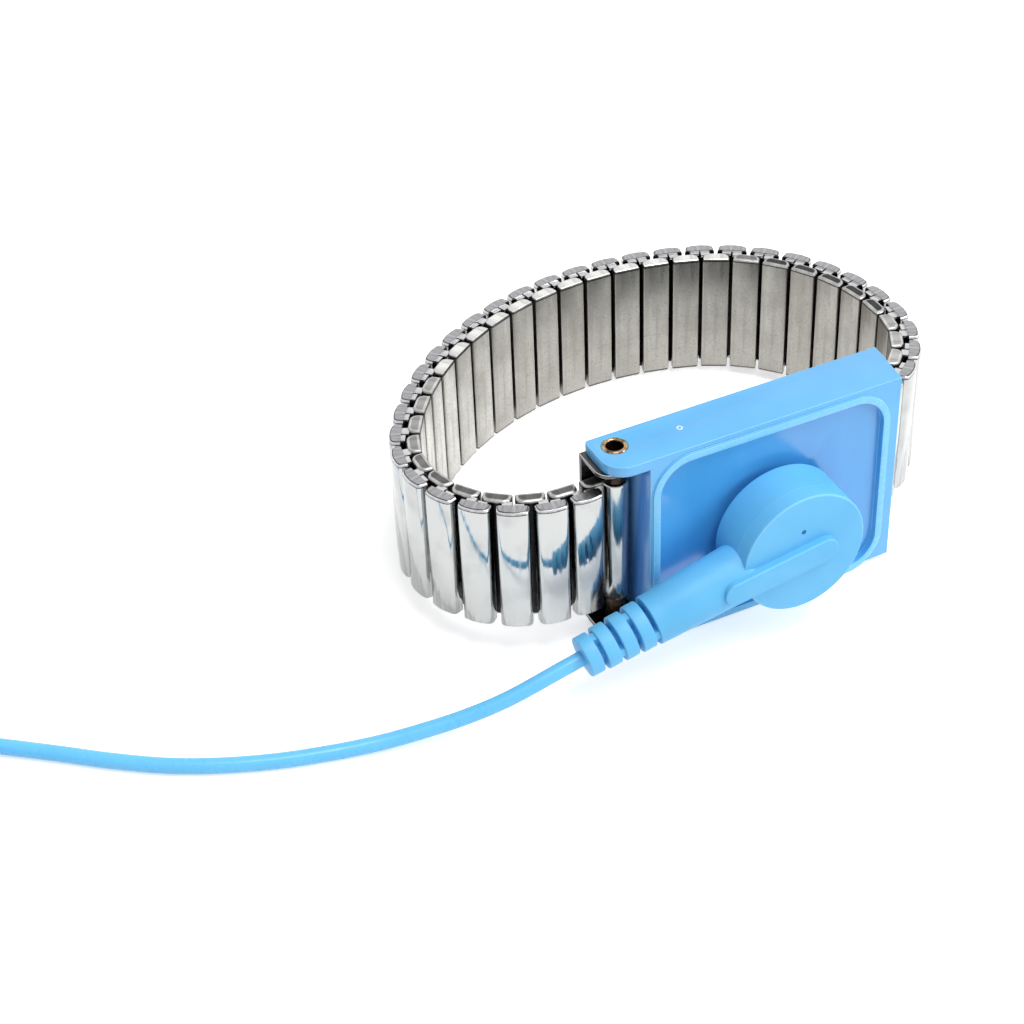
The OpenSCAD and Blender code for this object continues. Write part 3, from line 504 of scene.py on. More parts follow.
def brushed_steel():
    """Flat stainless steel with upright brush lines, scratches, specks and stains, and painted light:
    paler where it faces right, the side the stronger light comes from."""
    f = Finish("brushed_steel", Metallic=1.0)
    lines = f.noise(1700, 4, (1, 1, 0.05), True)
    stain = f.band(f.noise(180, 4), 0.4, 0.7)
    # Painted light: faces turned to the right are painted paler.
    lit_from_right = f.band(f.facing(0), 0.3, 0.8)
    tone = f.mix(lit_from_right, rgb(170, 168, 162), rgb(214, 213, 208))
    tone = f.mix(stain * 0.6, tone, rgb(140, 137, 130))
    tone = f.mix(f.band(f.noise(3800, 2), 0.5, 0.72, 0, 0.5), tone, rgb(128, 126, 121))
    scratch = f.band(f.noise(700, 2, (0.25, 1, 6), True), 0.68, 0.74)
    tone = f.mix(scratch * 0.35, tone, rgb(112, 110, 106))
    f.feed("Base Color", f.mix(f.band(lines, 0.56, 0.7, 0, 0.4), tone, rgb(140, 138, 134)))
    f.feed("Roughness", f.band(lines, 0.3, 0.7, 0.26, 0.4))
    f.relief(lines, 0.1, 0.00005)
    return f.material


def satin_ends():
    """Ends of the outer shells: light grey metal, ground across the band."""
    f = Finish("satin_ends", Metallic=1.0)
    lines = f.noise(2400, 4, (1, 0.08, 1), True)
    f.feed("Base Color", f.mix(f.band(lines, 0.35, 0.65), rgb(150, 150, 152), rgb(196, 196, 198)))
    f.feed("Roughness", f.band(f.noise(900, 3), 0.3, 0.7, 0.3, 0.42))
    f.relief(lines, 0.12, 0.00005)
    return f.material


def ground_ends(name, dark, pale):
    """Ends and rims of the inner shells: a painted glint makes each bright or dark by the way it faces."""
    f = Finish(name, Metallic=1.0)
    lines = f.band(f.noise(2200, 4, (1, 0.08, 1), True), 0.38, 0.62)
    shine = f.node("Attribute", {"attribute_name": "glint"}, out=2)
    shades = [f.mix(lines, rgb(*[0.86 * v for v in tone]), rgb(*tone)) for tone in (dark, pale)]
    f.feed("Base Color", f.mix(shine, *shades))
    f.feed("Roughness", f.band(f.noise(900, 3), 0.3, 0.7, 0.3, 0.42))
    f.relief(lines, 0.06, 0.00005)
    return f.material


def dark_steel(name, dark, light):
    """Sheet ends, springs and hollows: grey, a little rough; pale lips are painted highlights, dark edges and
    hollows painted shade.
    """
    f = Finish(name, Metallic=1.0)
    f.feed("Base Color", f.mix(f.noise(900, 3), dark, light))
    f.feed("Roughness", f.band(f.noise(1400, 3), 0.3, 0.7, 0.25, 0.4))
    return f.material


def aged_brass():
    """Brass gone brown in its hollows, golden where it is rubbed."""
    f = Finish("aged_brass", Metallic=1.0)
    patina = f.band(f.noise(1300, 4), 0.42, 0.6)
    f.feed("Base Color", f.mix(patina, rgb(198, 172, 136), rgb(110, 88, 66)))
    f.feed("Roughness", f.band(patina, 0, 1, 0.18, 0.4))
    f.relief(f.noise(1600, 3), 0.1, 0.0001)
    return f.material


def shaded_bore():
    """Inside of the rivet and its shank: dark brown, painted shade."""
    f = Finish("shaded_bore", Metallic=0.8)
    f.feed("Base Color", f.mix(f.band(f.noise(1000, 4), 0.4, 0.6), rgb(30, 23, 18), rgb(66, 50, 38)))
    f.feed("Roughness", f.band(f.noise(1300, 3), 0.3, 0.7, 0.2, 0.4))
    return f.material


def plain_metal(name, dark, light, rough):
    """Plain worked metal: a cloud between two shades, with uneven gloss."""
    f = Finish(name, Metallic=1.0)
    f.feed("Base Color", f.mix(f.noise(700, 3), dark, light))
    f.feed("Roughness", f.band(f.noise(1300, 3), 0.3, 0.7, rough, rough + 0.12))
    return f.material


def plain_plastic(name, dark, light, rough):
    """Plain moulded plastic: a cloud between two shades, with uneven gloss."""
    f = Finish(name)
    f.feed("Base Color", f.mix(f.noise(500, 3), dark, light))
    f.feed("Roughness", f.band(f.noise(1200, 3), 0.3, 0.7, rough, rough + 0.1))
    return f.material


CASE_BLUE = blue_case()
# Copies of the case's plastic: the recess floor darker as painted shade, the hinge wall paler as painted
# reflection, the bead and rounded edges paler as painted highlights.
PANEL_BLUE_SHADED = blue_panel()
WALL_BLUE_SHEEN = blue_wall()
BEAD_HIGHLIGHT = plain_plastic("bead_highlight", rgb(118, 196, 240), rgb(128, 203, 245), 0.2)
EDGE_HIGHLIGHT = plain_plastic("edge_highlight", rgb(136, 208, 245), rgb(148, 216, 249), 0.2)
# The gate mark's pale colour is a painted highlight.
GATE_HIGHLIGHT = plain_plastic("gate_mark_highlight", rgb(196, 226, 250), rgb(214, 236, 252), 0.15)
PLUG_BLUE = soft_blue("plug_blue", rgb(92, 178, 228), rgb(102, 186, 234))
# Paler copy of the plug's vinyl for its front edges: painted highlights.
PLUG_EDGE_HIGHLIGHT = soft_blue("plug_edge_highlight", rgb(112, 190, 237), rgb(122, 198, 242))
# Dark blue for the vent: painted shade in its hole.
VENT_SHADE = soft_blue("vent_shade", rgb(10, 66, 128), rgb(28, 104, 176))
CORD_BLUE = soft_blue("cord_blue", rgb(100, 190, 240), rgb(108, 196, 244), 0.25, 0.32)
CHROME = bright_chrome()
BRUSHED = brushed_steel()
SATIN_ENDS = satin_ends()
# Painted glint on the inner shells: ends white or dark by the band's heading, lips pale as painted highlights,
# rims pale where the ends are dark and dark as painted shade where they are white.
GROUND_ENDS = ground_ends("ground_ends", (70, 70, 72), (252, 251, 247))
BOX_LIP = ground_ends("box_lip", (205, 204, 202), (244, 243, 240))
BOX_RIM = ground_ends("box_rim", (190, 190, 188), (96, 96, 98))
TAB_STEEL = dark_steel("tab_steel", rgb(206, 206, 208), rgb(236, 236, 238))
# Pale rim line of the outer shells and the channel's edges: a painted highlight.
SHELL_LIP_HIGHLIGHT = dark_steel("shell_lip_highlight", rgb(196, 197, 199), rgb(226, 227, 229))
DARK_STEEL = dark_steel("spring_steel", rgb(120, 120, 122), rgb(160, 160, 162))
# Painted shade: near black in the shells' grooves and on the plates between the rows, dark grey on the bands under
# the rims.
HOLLOW_SHADE = dark_steel("hollow_shade", rgb(20, 20, 21), rgb(36, 36, 38))
SHADED_EDGE = dark_steel("edge_shade", rgb(64, 64, 66), rgb(96, 96, 99))
BRASS = aged_brass()
# Dark brown of the bore and the shank: painted shade.
BORE_SHADE = shaded_bore()
NICKEL = plain_metal("nickel", rgb(196, 190, 180), rgb(222, 218, 210), 0.14)
SPRING_BRASS = plain_metal("spring_brass", rgb(190, 150, 84), rgb(214, 178, 110), 0.2)
# The channel's dark grey is painted shade and a painted reflection of its dark inside.
CHANNEL_SHADED = plain_metal("channel_steel", rgb(78, 78, 80), rgb(100, 99, 98), 0.1)
CORE_DARK = plain_plastic("core_dark", rgb(28, 34, 48), rgb(38, 46, 62), 0.4)
RESISTOR_TAN = plain_plastic("resistor_tan", rgb(196, 166, 116), rgb(210, 182, 134), 0.25)
TIE_BLACK = plain_plastic("tie_black", rgb(22, 22, 24), rgb(34, 34, 36), 0.35)

# ---------------------------------------------------------------- camera
EYE = (-100.03, -197.09, 193.14)
VIEW_RIGHT = (0.8972, -0.4404, -0.0347)
VIEW_UP = (0.2986, 0.5468, 0.7822)
FOCAL, PICTURE = 2300.0, 1024.0


def set_camera():
    """Stands the camera at its place by the upright case, leaned back with it."""
    data = bpy.data.cameras.new("camera")
    data.sensor_width = 36.0
    data.lens = data.sensor_width * FOCAL / PICTURE
    data.clip_start, data.clip_end = 0.01, 20.0
    camera = bpy.data.objects.new("camera", data)
    bpy.context.scene.collection.objects.link(camera)
    origin = leaning((0, 0, 0))
    right = Vector((leaning(VIEW_RIGHT) - origin) / MM).normalized()
    up = Vector((leaning(VIEW_UP) - origin) / MM)
    back = right.cross(up).normalized()
    up = back.cross(right)
    turn = Matrix((right, up, back)).transposed().to_4x4()
    camera.matrix_world = Matrix.Translation(leaning(EYE)) @ turn
    bpy.context.scene.camera = camera


set_camera()


# ---------------------------------------------------------------- cord
def laid(x, y, z):
    """A point of the cord's route, taken from the upright case's corner, in the strap's own frame."""
    return (x - MID_X, y - MID_Y, z)


def along_sleeve(d):
    """The point at d along the sleeve's axis, in the strap's own frame."""
    return tuple(leaning(on_sleeve((0, 0, d))) / MM)


LEAD_ROUTE = [
    along_sleeve(CORD_START),
    along_sleeve(RELIEF_END),
    along_sleeve(RELIEF_END + 3),
    laid(-16.8, -11.3, 4.4),
    laid(-22.4, -10.6, 3),
    laid(-27.8, -9.6, 2),
    laid(-32.4, -8.6, 1.3),
    laid(-36.9, -7.6, CORD_R),
]
COIL_X, COIL_Y, _ = laid(-100.2, 5.5, 0)
LAYER_TURNS = COIL_TURNS / LAYERS
COIL_OUT = COIL_R + LAYER_TURNS * TURN_PITCH / 2
COIL_BASE = TIE_T + TIE_SLACK + CORD_R
ENTRY = math.radians(COIL_FROM)


def coil_entry(d):
    """The straight way into the coil, d before it starts."""
    return (
        COIL_X + COIL_OUT * math.cos(ENTRY) + d * math.sin(ENTRY),
        COIL_Y + COIL_OUT * math.sin(ENTRY) - d * math.cos(ENTRY),
        COIL_BASE,
    )


RUN_ROUTE = [
    laid(-36.9, -7.6, CORD_R),
    laid(-43.6, -6, CORD_R),
    laid(-50.1, -3.8, CORD_R),
    laid(-56.3, -1, CORD_R),
    laid(-62.2, 2.6, CORD_R),
    laid(-67.9, 6.6, CORD_R),
    laid(-74, 10.7, CORD_R + 0.1),
    coil_entry(9),
    coil_entry(CORD_D),
    coil_entry(0),
]


def smooth(route, steps):
    """A curve through listed points: each stretch is a cubic set by its four nearest points."""
    p = np.array(route, float)
    a, b, c, d = (p[np.clip(np.arange(len(p) - 1) + k, 0, len(p) - 1)] for k in (-1, 0, 1, 2))
    t = (np.arange(steps) / steps)[None, :, None]
    a, b, c, d = (q[:, None] for q in (a, b, c, d))
    bend = a - 2.5 * b + 2 * c - 0.5 * d
    twist = 1.5 * (b - c) + 0.5 * (d - a)
    curve = b + t / 2 * (c - a) + t**2 * bend + t**3 * twist
    return np.concatenate([curve.reshape(-1, 3), p[-1:]])


def coil_points(steps):
    """The coil: its radius goes steadily in and out, and it climbs a layer where it turns back."""
    u = np.arange(COIL_TURNS * steps + 1) / steps
    radius = COIL_R + (np.abs((u / LAYER_TURNS) % 2 - 1) - 0.5) * LAYER_TURNS * TURN_PITCH
    climb = sum(np.clip((u - i * LAYER_TURNS) * 2 + 0.5, 0, 1) for i in range(1, LAYERS))
    a = ENTRY + 2 * math.pi * u
    return np.column_stack(
        [COIL_X + radius * np.cos(a), COIL_Y + radius * np.sin(a), COIL_BASE + TURN_PITCH * climb]
    )


TAIL_AHEAD, TAIL_CLEAR, TAIL_BEND = 6.0, 0.8, 8.0
TAIL_TO = np.array([COIL_X - TAIL_AHEAD, COIL_Y + COIL_OUT + CORD_R + TAIL_CLEAR + GRIP_R, GRIP_R])


def tail_points(start, steps):
    """From the coil's top layer down to the banana plug: a cubic curve between two directions."""
    t = np.linspace(0, 1, steps + 1)[1:, None]
    b = start + TAIL_BEND * np.array([-math.sin(ENTRY), math.cos(ENTRY), 0])
    c = TAIL_TO + [TAIL_BEND, 0, 0]
    return start * (1 - t) ** 3 + b * 3 * t * (1 - t) ** 2 + c * 3 * t**2 * (1 - t) + TAIL_TO * t**3


def make_cord():
    """One tube from inside the sleeve, over the floor, round the coil and into the banana plug."""
    turns = coil_points(36)
    path = np.concatenate(
        [
            smooth(LEAD_ROUTE, 10)[:-1],
            smooth(RUN_ROUTE, 8)[:-1],
            turns,
            tail_points(turns[-1], 16),
            [TAIL_TO - [CORD_D, 0, 0]],
        ]
    )
    cord = Piece("cord", lying).add(swept(path, CORD_R, 14)).make(
        None, "cord_blue", [CORD_BLUE], ["cord_lead", "cord_run", "cord_coil"], 60
    )
    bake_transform(cord)
    return cord, path


cord_piece, cord_path = make_cord()


# ---------------------------------------------------------------- case
def merged_copy(node, name, body, finishes, soften, edge=-1):
    """A merged copy of a solid with its edges rounded, which stands for it. Edge is their finish."""
    mesh = frame["nodes"][node].data.copy()
    mesh.materials.clear()
    obj = new_object(name, mesh, finishes)
    bm = bmesh.new()
    bm.from_mesh(mesh)
    bmesh.ops.remove_doubles(bm, verts=bm.verts, dist=1e-6)
    bmesh.ops.dissolve_limit(bm, angle_limit=math.radians(1), verts=bm.verts, edges=bm.edges)
    bm.to_mesh(mesh)
    bm.free()
    mesh.polygons.foreach_set("material_index", [0] * len(mesh.polygons))
    mesh.shade_smooth()
    round_edges = obj.modifiers.new("round_edges", "BEVEL")
    round_edges.width = soften * MM
    round_edges.segments = 3
    round_edges.limit_method = "ANGLE"
    round_edges.angle_limit = math.radians(30)
    round_edges.harden_normals = True
    round_edges.material = edge
    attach(obj, body)
    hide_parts(node)
    return obj


CASE_FINISHES = [CASE_BLUE, PANEL_BLUE_SHADED, EDGE_HIGHLIGHT, BEAD_HIGHLIGHT, WALL_BLUE_SHEEN]
PANEL, EDGE, BEAD, HINGE_WALL = range(1, 5)
LARGE_FACE = 1e-4  # square metres


def paint_recess(obj):
    """Gives the recess floor, the bead round it and the wall at the hinge finishes of their own: painted shade on
    the floor, a painted highlight on the bead and a painted reflection on the wall.
    """
    back = Vector((0, LEAN_COS, -LEAN_SIN))
    for face in obj.data.polygons:
        depth = face.center.dot(back) / MM + MID_Y * LEAN_COS
        forward = face.normal.dot(back) < -0.99
        if forward and depth > -(RECESS_FACE + 0.05) and face.area > LARGE_FACE:
            face.material_index = PANEL
        if forward and abs(depth + BEAD_FACE) < 0.1:
            face.material_index = BEAD
        if face.normal.x < -0.9 and face.area > LARGE_FACE:
            face.material_index = HINGE_WALL


# The case's rounded edges take the pale edge finish, a painted highlight.
paint_recess(merged_copy("case_shell", "case", "strap", CASE_FINISHES, 0.28, EDGE))
# The channel: painted dark as shade, its rounded edges pale as painted highlights.
merged_copy("clasp_channel", "channel", "strap", [CHANNEL_SHADED, SHELL_LIP_HIGHLIGHT], 0.12, 1)

MARK_X, MARK_Y = 11.3, -3.1
MARK_R, MARK_WIDE, MARK_HIGH = 0.32, 0.1, 0.05


def make_gate_mark():
    """The small ring-shaped mark of the mould's gate on the case's top, pale as a painted highlight."""
    a = np.linspace(0, 2 * math.pi, 12, endpoint=False)
    section = [(MARK_R + MARK_WIDE * math.cos(t), MARK_HIGH * math.sin(t)) for t in a]
    Piece("case_mark").add(
        turned(section, 28), lambda p: p + [MARK_X, MARK_Y, CASE_H + 0.005], loop=True
    ).make("strap", "case_blue", [GATE_HIGHLIGHT])


make_gate_mark()


# ---------------------------------------------------------------- rivet and end links
SHANK_R = 1.3


def make_rivet():
    """A tube whose two rims are half ellipses, rolled outward, painted dark brown as shade in the bore and along
    the shank.
    """
    top, clear = CASE_H + RIM_PROUD, RIM_T + 0.02
    mid = (RIVET_BORE + RIM_R) / 2
    half = (RIM_R - RIVET_BORE) / 2
    a = np.linspace(0, math.pi, 11)
    upper = [(mid + half * math.cos(t), top - RIM_T + RIM_T * math.sin(t)) for t in a]
    lower = [(mid - half * math.cos(t), RIM_T - RIM_T * math.sin(t)) for t in a]
    profile = lower + [(SHANK_R, clear), (SHANK_R, top - clear)] + upper
    # The bore and the shank take the dark brown of painted shade.
    rolled, in_shade = 0, 1
    kinds = [rolled] * 11 + [in_shade] + [rolled] * 9 + [in_shade] * 3
    Piece("hinge_eyelet").add(turned(profile, 48), at_pin(*NEAR_PIN), kinds, loop=True).make(
        "strap", "aged_brass", [BRASS, BORE_SHADE], ["hinge_rivet"], 50
    )


def barrel(bore):
    """A knuckle round a pin, with rounded ends, closed inside."""
    soft = 0.3
    low, high = rim(BARREL_R, 0, soft, up=False), rim(BARREL_R, BAND_W, soft)
    return turned(lathe((bore, soft), low, high, (bore, BAND_W - soft)), 48)


END_EDGE = [(0.5, 0.0), (0.42, 0.004), (0.28, 0.03), (0.12, 0.1), (0.03, 0.28), (0.0, 0.44)]


BOX_CORNERS = (0.2, 0.2, 1.05, 1.05)


def flat_box(x0, x1, y0, y1):
    """An upright box with round corners and rolled-over ends."""
    pairs = END_EDGE + [(inset, BAND_W - h) for inset, h in END_EDGE[::-1]]
    return stacked(lambda inset: rounded_outline(x0, y0, x1, y1, BOX_CORNERS, inset), pairs)


LINK_FINISHES = [
    CHROME, BRUSHED, SATIN_ENDS, GROUND_ENDS, SHADED_EDGE,
    HOLLOW_SHADE, BOX_LIP, BOX_RIM, TAB_STEEL, SHELL_LIP_HIGHLIGHT,
]
MIRROR, FLAT, SATIN, GROUND, SHADE, DARK, LIP, RIM, TAB, LIP_HIGHLIGHT = range(10)
# From the lower end to the upper: end faces, lips, rims and sides.
# Pale lips are painted highlights and the dark strips painted shade.
BOX_STRIPS = [GROUND, LIP, LIP, RIM, SHADE, FLAT, SHADE, RIM, LIP, LIP, GROUND]
SHELL_STRIPS = [SATIN, MIRROR, MIRROR, MIRROR, DARK, DARK, SATIN, LIP_HIGHLIGHT, SHADE, SATIN]


def end_shine(heading):
    """The painted glint on the ground end of an inner shell, from the way the band runs there, in degrees:
    white along the back, grey at the left, dark at the right and in front."""
    runs = [-180, -134, -103, -90, -49, -36, -28, 41, 46, 71, 97, 180]
    looks = [0.5, 0.6, 0.5, 0.0, 0.0, 0.3, 1.0, 1.0, 0.45, 0.35, 0.12, 0.12]
    return float(np.interp((math.degrees(heading) + 180) % 360 - 180, runs, looks))


def make_near_end():
    """The knuckle on the rivet and the narrow inner box behind it."""
    # The narrow box's ends get a low painted glint.
    Piece("near_end").add(
        barrel(NEAR_BORE), lambda p: at_pin(*NEAR_PIN)(p) + [0, 0, BAND_LO]
    ).add(
        flat_box(0, PITCH - INNER_GAP / 2, IN_FACE, IN_TOP), on_band(0), BOX_STRIPS
    ).make("strap", "band_steel", LINK_FINISHES, ["near_end_link"], glint=0.25)


def make_far_end():
    """The knuckle on the cross pin."""
    Piece("far_end").add(
        barrel(FAR_BORE), lambda p: at_pin(*FAR_PIN)(p) + [0, 0, BAND_LO]
    ).make("strap", "band_steel", [CHROME], ["far_end_link"])


# ---------------------------------------------------------------- band links
def crowned_outline(inset, steps=22):
    """An outer shell's section: across u from -1 to 1 a crown that falls with the square of u, times
    a shoulder, 1 less the 18th power of u, all to the power 0.4, which turns down steeply at the sides."""
    u = np.sin(np.linspace(-math.pi / 2, math.pi / 2, steps))
    half = OUTER_W / 2 - inset
    crown = OUT_FACE - inset - CROWN_DROP * u**2
    shoulder = (1 - np.abs(u) ** 18) ** 0.4
    top = np.column_stack([half * u, OUT_FLOOR + (crown - OUT_FLOOR) * shoulder])[::-1]
    under = [[-half, OUT_FLOOR + 0.02], [0, OUT_FLOOR], [half, OUT_FLOOR + 0.02]]
    return np.concatenate([top, under])


SHELL_FOOT = [(0.2, 0.0), (0.07, 0.05), (0.0, 0.18)]
SHELL_EDGE = [
    (0.32, 0.0), (0.27, 0.01), (0.16, 0.06), (0.05, 0.22),
    (0.0, 0.36), (0.04, 0.42), (0.04, 0.5), (0.0, 0.56),
]
PLATE_INSET, PLATE_END = 0.35, 0.5
LEAF_INSET, LEAF_END = 0.8, 0.4
TAB_LOW, TAB_T, TAB_NEAR, TAB_FAR, TAB_SINK = 0.2, 0.35, 0.12, 1.35, 0.3


def outer_shell():
    """A crowned shell with flat ends and rounded rims, with a fine groove under the upper rim."""
    top = [(inset, BAND_W - h) for inset, h in SHELL_EDGE[::-1]]
    return stacked(crowned_outline, SHELL_FOOT + top)


def small_box(x0, x1, y0, y1, z0, z1):
    """An upright box with its corners and edges just broken."""
    soft = 0.05
    pairs = fillet(soft, z0, 3, up=False) + fillet(soft, z1, 3)
    return stacked(lambda inset: rounded_outline(x0, y0, x1, y1, soft, inset, 3), pairs)


def make_link(k):
    """Outer shell, inner box, plates between the rows painted near black as shade, and two tabs at each end."""
    here, ahead = on_band(k * PITCH), on_band((k + 0.5) * PITCH)
    last = k == LINK_COUNT
    end = PITCH / 2 - BARREL_R - INNER_GAP / 2 if last else INNER_W / 2
    name = f"link_{k:02d}"
    piece = Piece(f"band_{name}").add(outer_shell(), here, SHELL_STRIPS)
    piece.add(flat_box(-INNER_W / 2, end, IN_FACE, IN_TOP), ahead, BOX_STRIPS)
    half = OUTER_W / 2 - PLATE_INSET
    x0, x1 = LEAF_INSET - INNER_W / 2, end - LEAF_INSET
    plate = small_box(-half, half, OUT_FLOOR - 0.16, OUT_FLOOR + 0.1, PLATE_END, BAND_W - PLATE_END)
    leaf = small_box(x0, x1, IN_TOP - 0.1, IN_TOP + 0.05, LEAF_END, BAND_W - LEAF_END)
    piece.add(plate, here, DARK).add(leaf, ahead, DARK)
    top = OUT_FLOOR + TAB_SINK
    for low in (TAB_LOW, BAND_W - TAB_LOW - TAB_T):
        tall = small_box(TAB_NEAR, TAB_FAR, IN_TOP - TAB_SINK, top, low, low + TAB_T)
        short = small_box(-TAB_FAR, -TAB_NEAR, IN_TOP + 0.08, top, low, low + TAB_T)
        piece.add(tall, here, TAB).add(short, here, TAB)
    # The inner box's ends get their painted glint from the way the band runs here.
    heading = band_place((k + 0.5) * PITCH)[2]
    piece.make(name, "band_steel", LINK_FINISHES, [name], glint=end_shine(heading))


make_rivet()
make_near_end()
make_far_end()
for number in range(1, LINK_COUNT + 1):
    make_link(number)


# ---------------------------------------------------------------- plug
SEAM_BACK, SEAM_PROUD, SOFT = 2.2, 0.03, 0.14
# The pale strips are painted highlights on the front edges; the vent's dark is painted shade.
VINYL, VENT, PALE = range(3)


def plug_head():
    """Round body with a crisp front edge and a fine parting line, hollow round core and stud."""
    front = HEAD_R - HEAD_DRAFT
    seam = HEAD_FACE - SEAM_BACK
    at_seam = front + HEAD_DRAFT * SEAM_BACK / HEAD_T
    return turned(
        lathe(
            (0.0, CORE_TOP),
            (CORE_R, CORE_TOP),
            (CORE_R, CORE_BACK),
            (SOCKET_HOLE, CORE_BACK),
            rim(SOCKET_HOLE, HEAD_BACK, 0.15, up=False, inner=True, steps=3)[::-1],
            rim(HEAD_R, HEAD_BACK, 0.25, up=False),
            (HEAD_R - 0.01, HEAD_BACK + 0.5),
            [(at_seam, seam + h) for h in (-0.2, -0.06)],
            (at_seam + SEAM_PROUD, seam),
            [(at_seam, seam + h) for h in (0.06, 0.2)],
            (front + 0.005, HEAD_FACE - 0.4),
            rim(front, HEAD_FACE, 0.2, steps=7),
            (0.0, HEAD_FACE),
        ),
        128,
    )


def bar_outline(inset):
    """The bar's outline: a slot shape with round ends."""
    half = BAR_W / 2
    return rounded_outline(-BAR_FAR - half, -half, BAR_NEAR + half, half, half, inset, 10)


def bar_place(p):
    """The bar lies over the sleeve, turned a little against it: x is its length, z is forward."""
    x, y, z = np.moveaxis(np.asarray(p, float), -1, 0)
    turn = math.radians(BAR_TURN)
    mid = (BAR_NEAR - BAR_FAR) / 2
    along = mid + (x - mid) * math.cos(turn) + y * math.sin(turn)
    across = y * math.cos(turn) - (x - mid) * math.sin(turn)
    return on_sleeve(np.stack([SLEEVE_AXIS - z, across, along], -1))


def plug_sleeve():
    """Tapered sleeve: a quarter sphere's profile at the root, then straight to a softened end."""
    a = np.linspace(0, math.pi / 2, 12)
    root = [(SLEEVE_R * math.sin(t), HEAD_R - SLEEVE_ROOT - SLEEVE_R * math.cos(t)) for t in a]
    return turned(lathe(root, rim(SLEEVE_END_R, SLEEVE_LEN, SOFT), (CORD_HOLE, SLEEVE_LEN)), 72)


def ring_place(i):
    """Where ring i starts on the sleeve's axis, and its radius, which shrinks evenly."""
    return RING_START + i * RING_PITCH, RING_R + (RING_END_R - RING_R) * i / (RING_COUNT - 1)


def relief_ring(i):
    """One strain relief ring: a short cylinder with rounded edges round the cord's hole."""
    low, radius = ring_place(i)
    high = low + RING_T
    wall = rim(radius, low, SOFT, up=False) + rim(radius, high, SOFT)
    return turned(lathe((CORD_HOLE, low), wall, (CORD_HOLE, high)), 64)


def relief_spine():
    """The thinner tube inside the rings."""
    low, high = SLEEVE_LEN - 1, RELIEF_END - 0.4
    return turned([(CORD_HOLE, low), (SPINE_R, low), (SPINE_R, high), (CORD_HOLE, high)], 32)


def relief_web(i):
    """The web in the slot before a ring: a slice of the ring, crosswise to the last one."""
    low, radius = ring_place(i)
    radius -= 0.15
    a = np.linspace(-1, 1, 9) * math.asin(WEB_W / 2 / radius)
    arc = radius * np.column_stack([np.cos(a), np.sin(a)])
    slice_ = np.concatenate([arc, -arc])
    if i % 2:
        slice_ = np.column_stack([-slice_[:, 1], slice_[:, 0]])
    return stacked(lambda inset: slice_, [(0, low - RING_PITCH + RING_T - 0.1), (0, low + 0.1)])


def make_plug():
    """Head, bar, sleeve and strain relief as one cover, with painted highlights on its front edges and a vent
    painted dark as its shade.
    """
    piece = Piece("plug_cover")
    head = plug_head()
    piece.add(head, on_stud, [VINYL] * (len(head) - 8) + [PALE] * 6 + [VINYL])
    edge = [(0, SLEEVE_AXIS), (0, BAR_FACE - 0.3)] + fillet(SOFT, BAR_FACE, 6)
    bar_kinds = [VINYL] * 2 + [PALE] * (len(edge) - 4) + [VINYL]
    piece.add(stacked(bar_outline, edge), bar_place, bar_kinds)
    piece.add(plug_sleeve(), on_sleeve)
    for i in range(RING_COUNT):
        piece.add(relief_ring(i), on_sleeve)
        piece.add(relief_web(i), on_sleeve)
    piece.add(relief_spine(), on_sleeve)
    # The vent: a lip round a flat disc that is painted dark as the shade in the hole.
    lip = [(VENT_R + 0.08, -0.1), (VENT_R + 0.06, 0.02), (VENT_R, 0.03), (VENT_R - 0.03, 0.01)]
    well = [(VENT_R - 0.02, -0.1), (VENT_R - 0.02, 0.012), (0.0, 0.012)]
    for profile, kind in ((lip, VINYL), (well, VENT)):
        mouth = turned([(0.0, -0.1)] + profile, 24)
        piece.add(mouth, lambda p: on_stud(p + [VENT_SIDE, VENT_OFF, HEAD_FACE]), kind)
    piece.make("plug", "plug_blue", [PLUG_BLUE, VENT_SHADE, PLUG_EDGE_HIGHLIGHT], ["plug_cover"])


make_plug()


# ---------------------------------------------------------------- tie and banana plug
def make_tie():
    """A flat band round the coil's bundle: a rounded rectangle, as thick as the tie and as wide."""
    high = (LAYERS - 1) * TURN_PITCH + CORD_D + 2 * (TIE_T + TIE_SLACK)
    wide = LAYER_TURNS * TURN_PITCH + CORD_D + 2 * (TIE_GAP + TIE_T)
    turn = math.radians(TIE_AT)

    def place(p):
        x, y, z = np.moveaxis(np.asarray(p, float), -1, 0)
        out = COIL_R + x
        c, s = math.cos(turn), math.sin(turn)
        return np.stack([COIL_X + out * c - z * s, COIL_Y + out * s + z * c, high / 2 + y], -1)

    def ring(inset):
        return rounded_outline(-wide / 2, -high / 2, wide / 2, high / 2, 0.6, inset, 6)

    half = TIE_W / 2
    loop = [(0, -half), (0, half), (TIE_T, half), (TIE_T, -half)]
    return Piece("cord_tie_band", lying).add(stacked(ring, loop), place, loop=True).make(
        "lead", "tie_black", [TIE_BLACK], ["cord_tie"]
    )


def on_tail(p):
    """z runs out of the coil's tail, along the banana plug."""
    x, y, z = np.moveaxis(np.asarray(p, float), -1, 0)
    return TAIL_TO + np.stack([-z, y, x], -1)


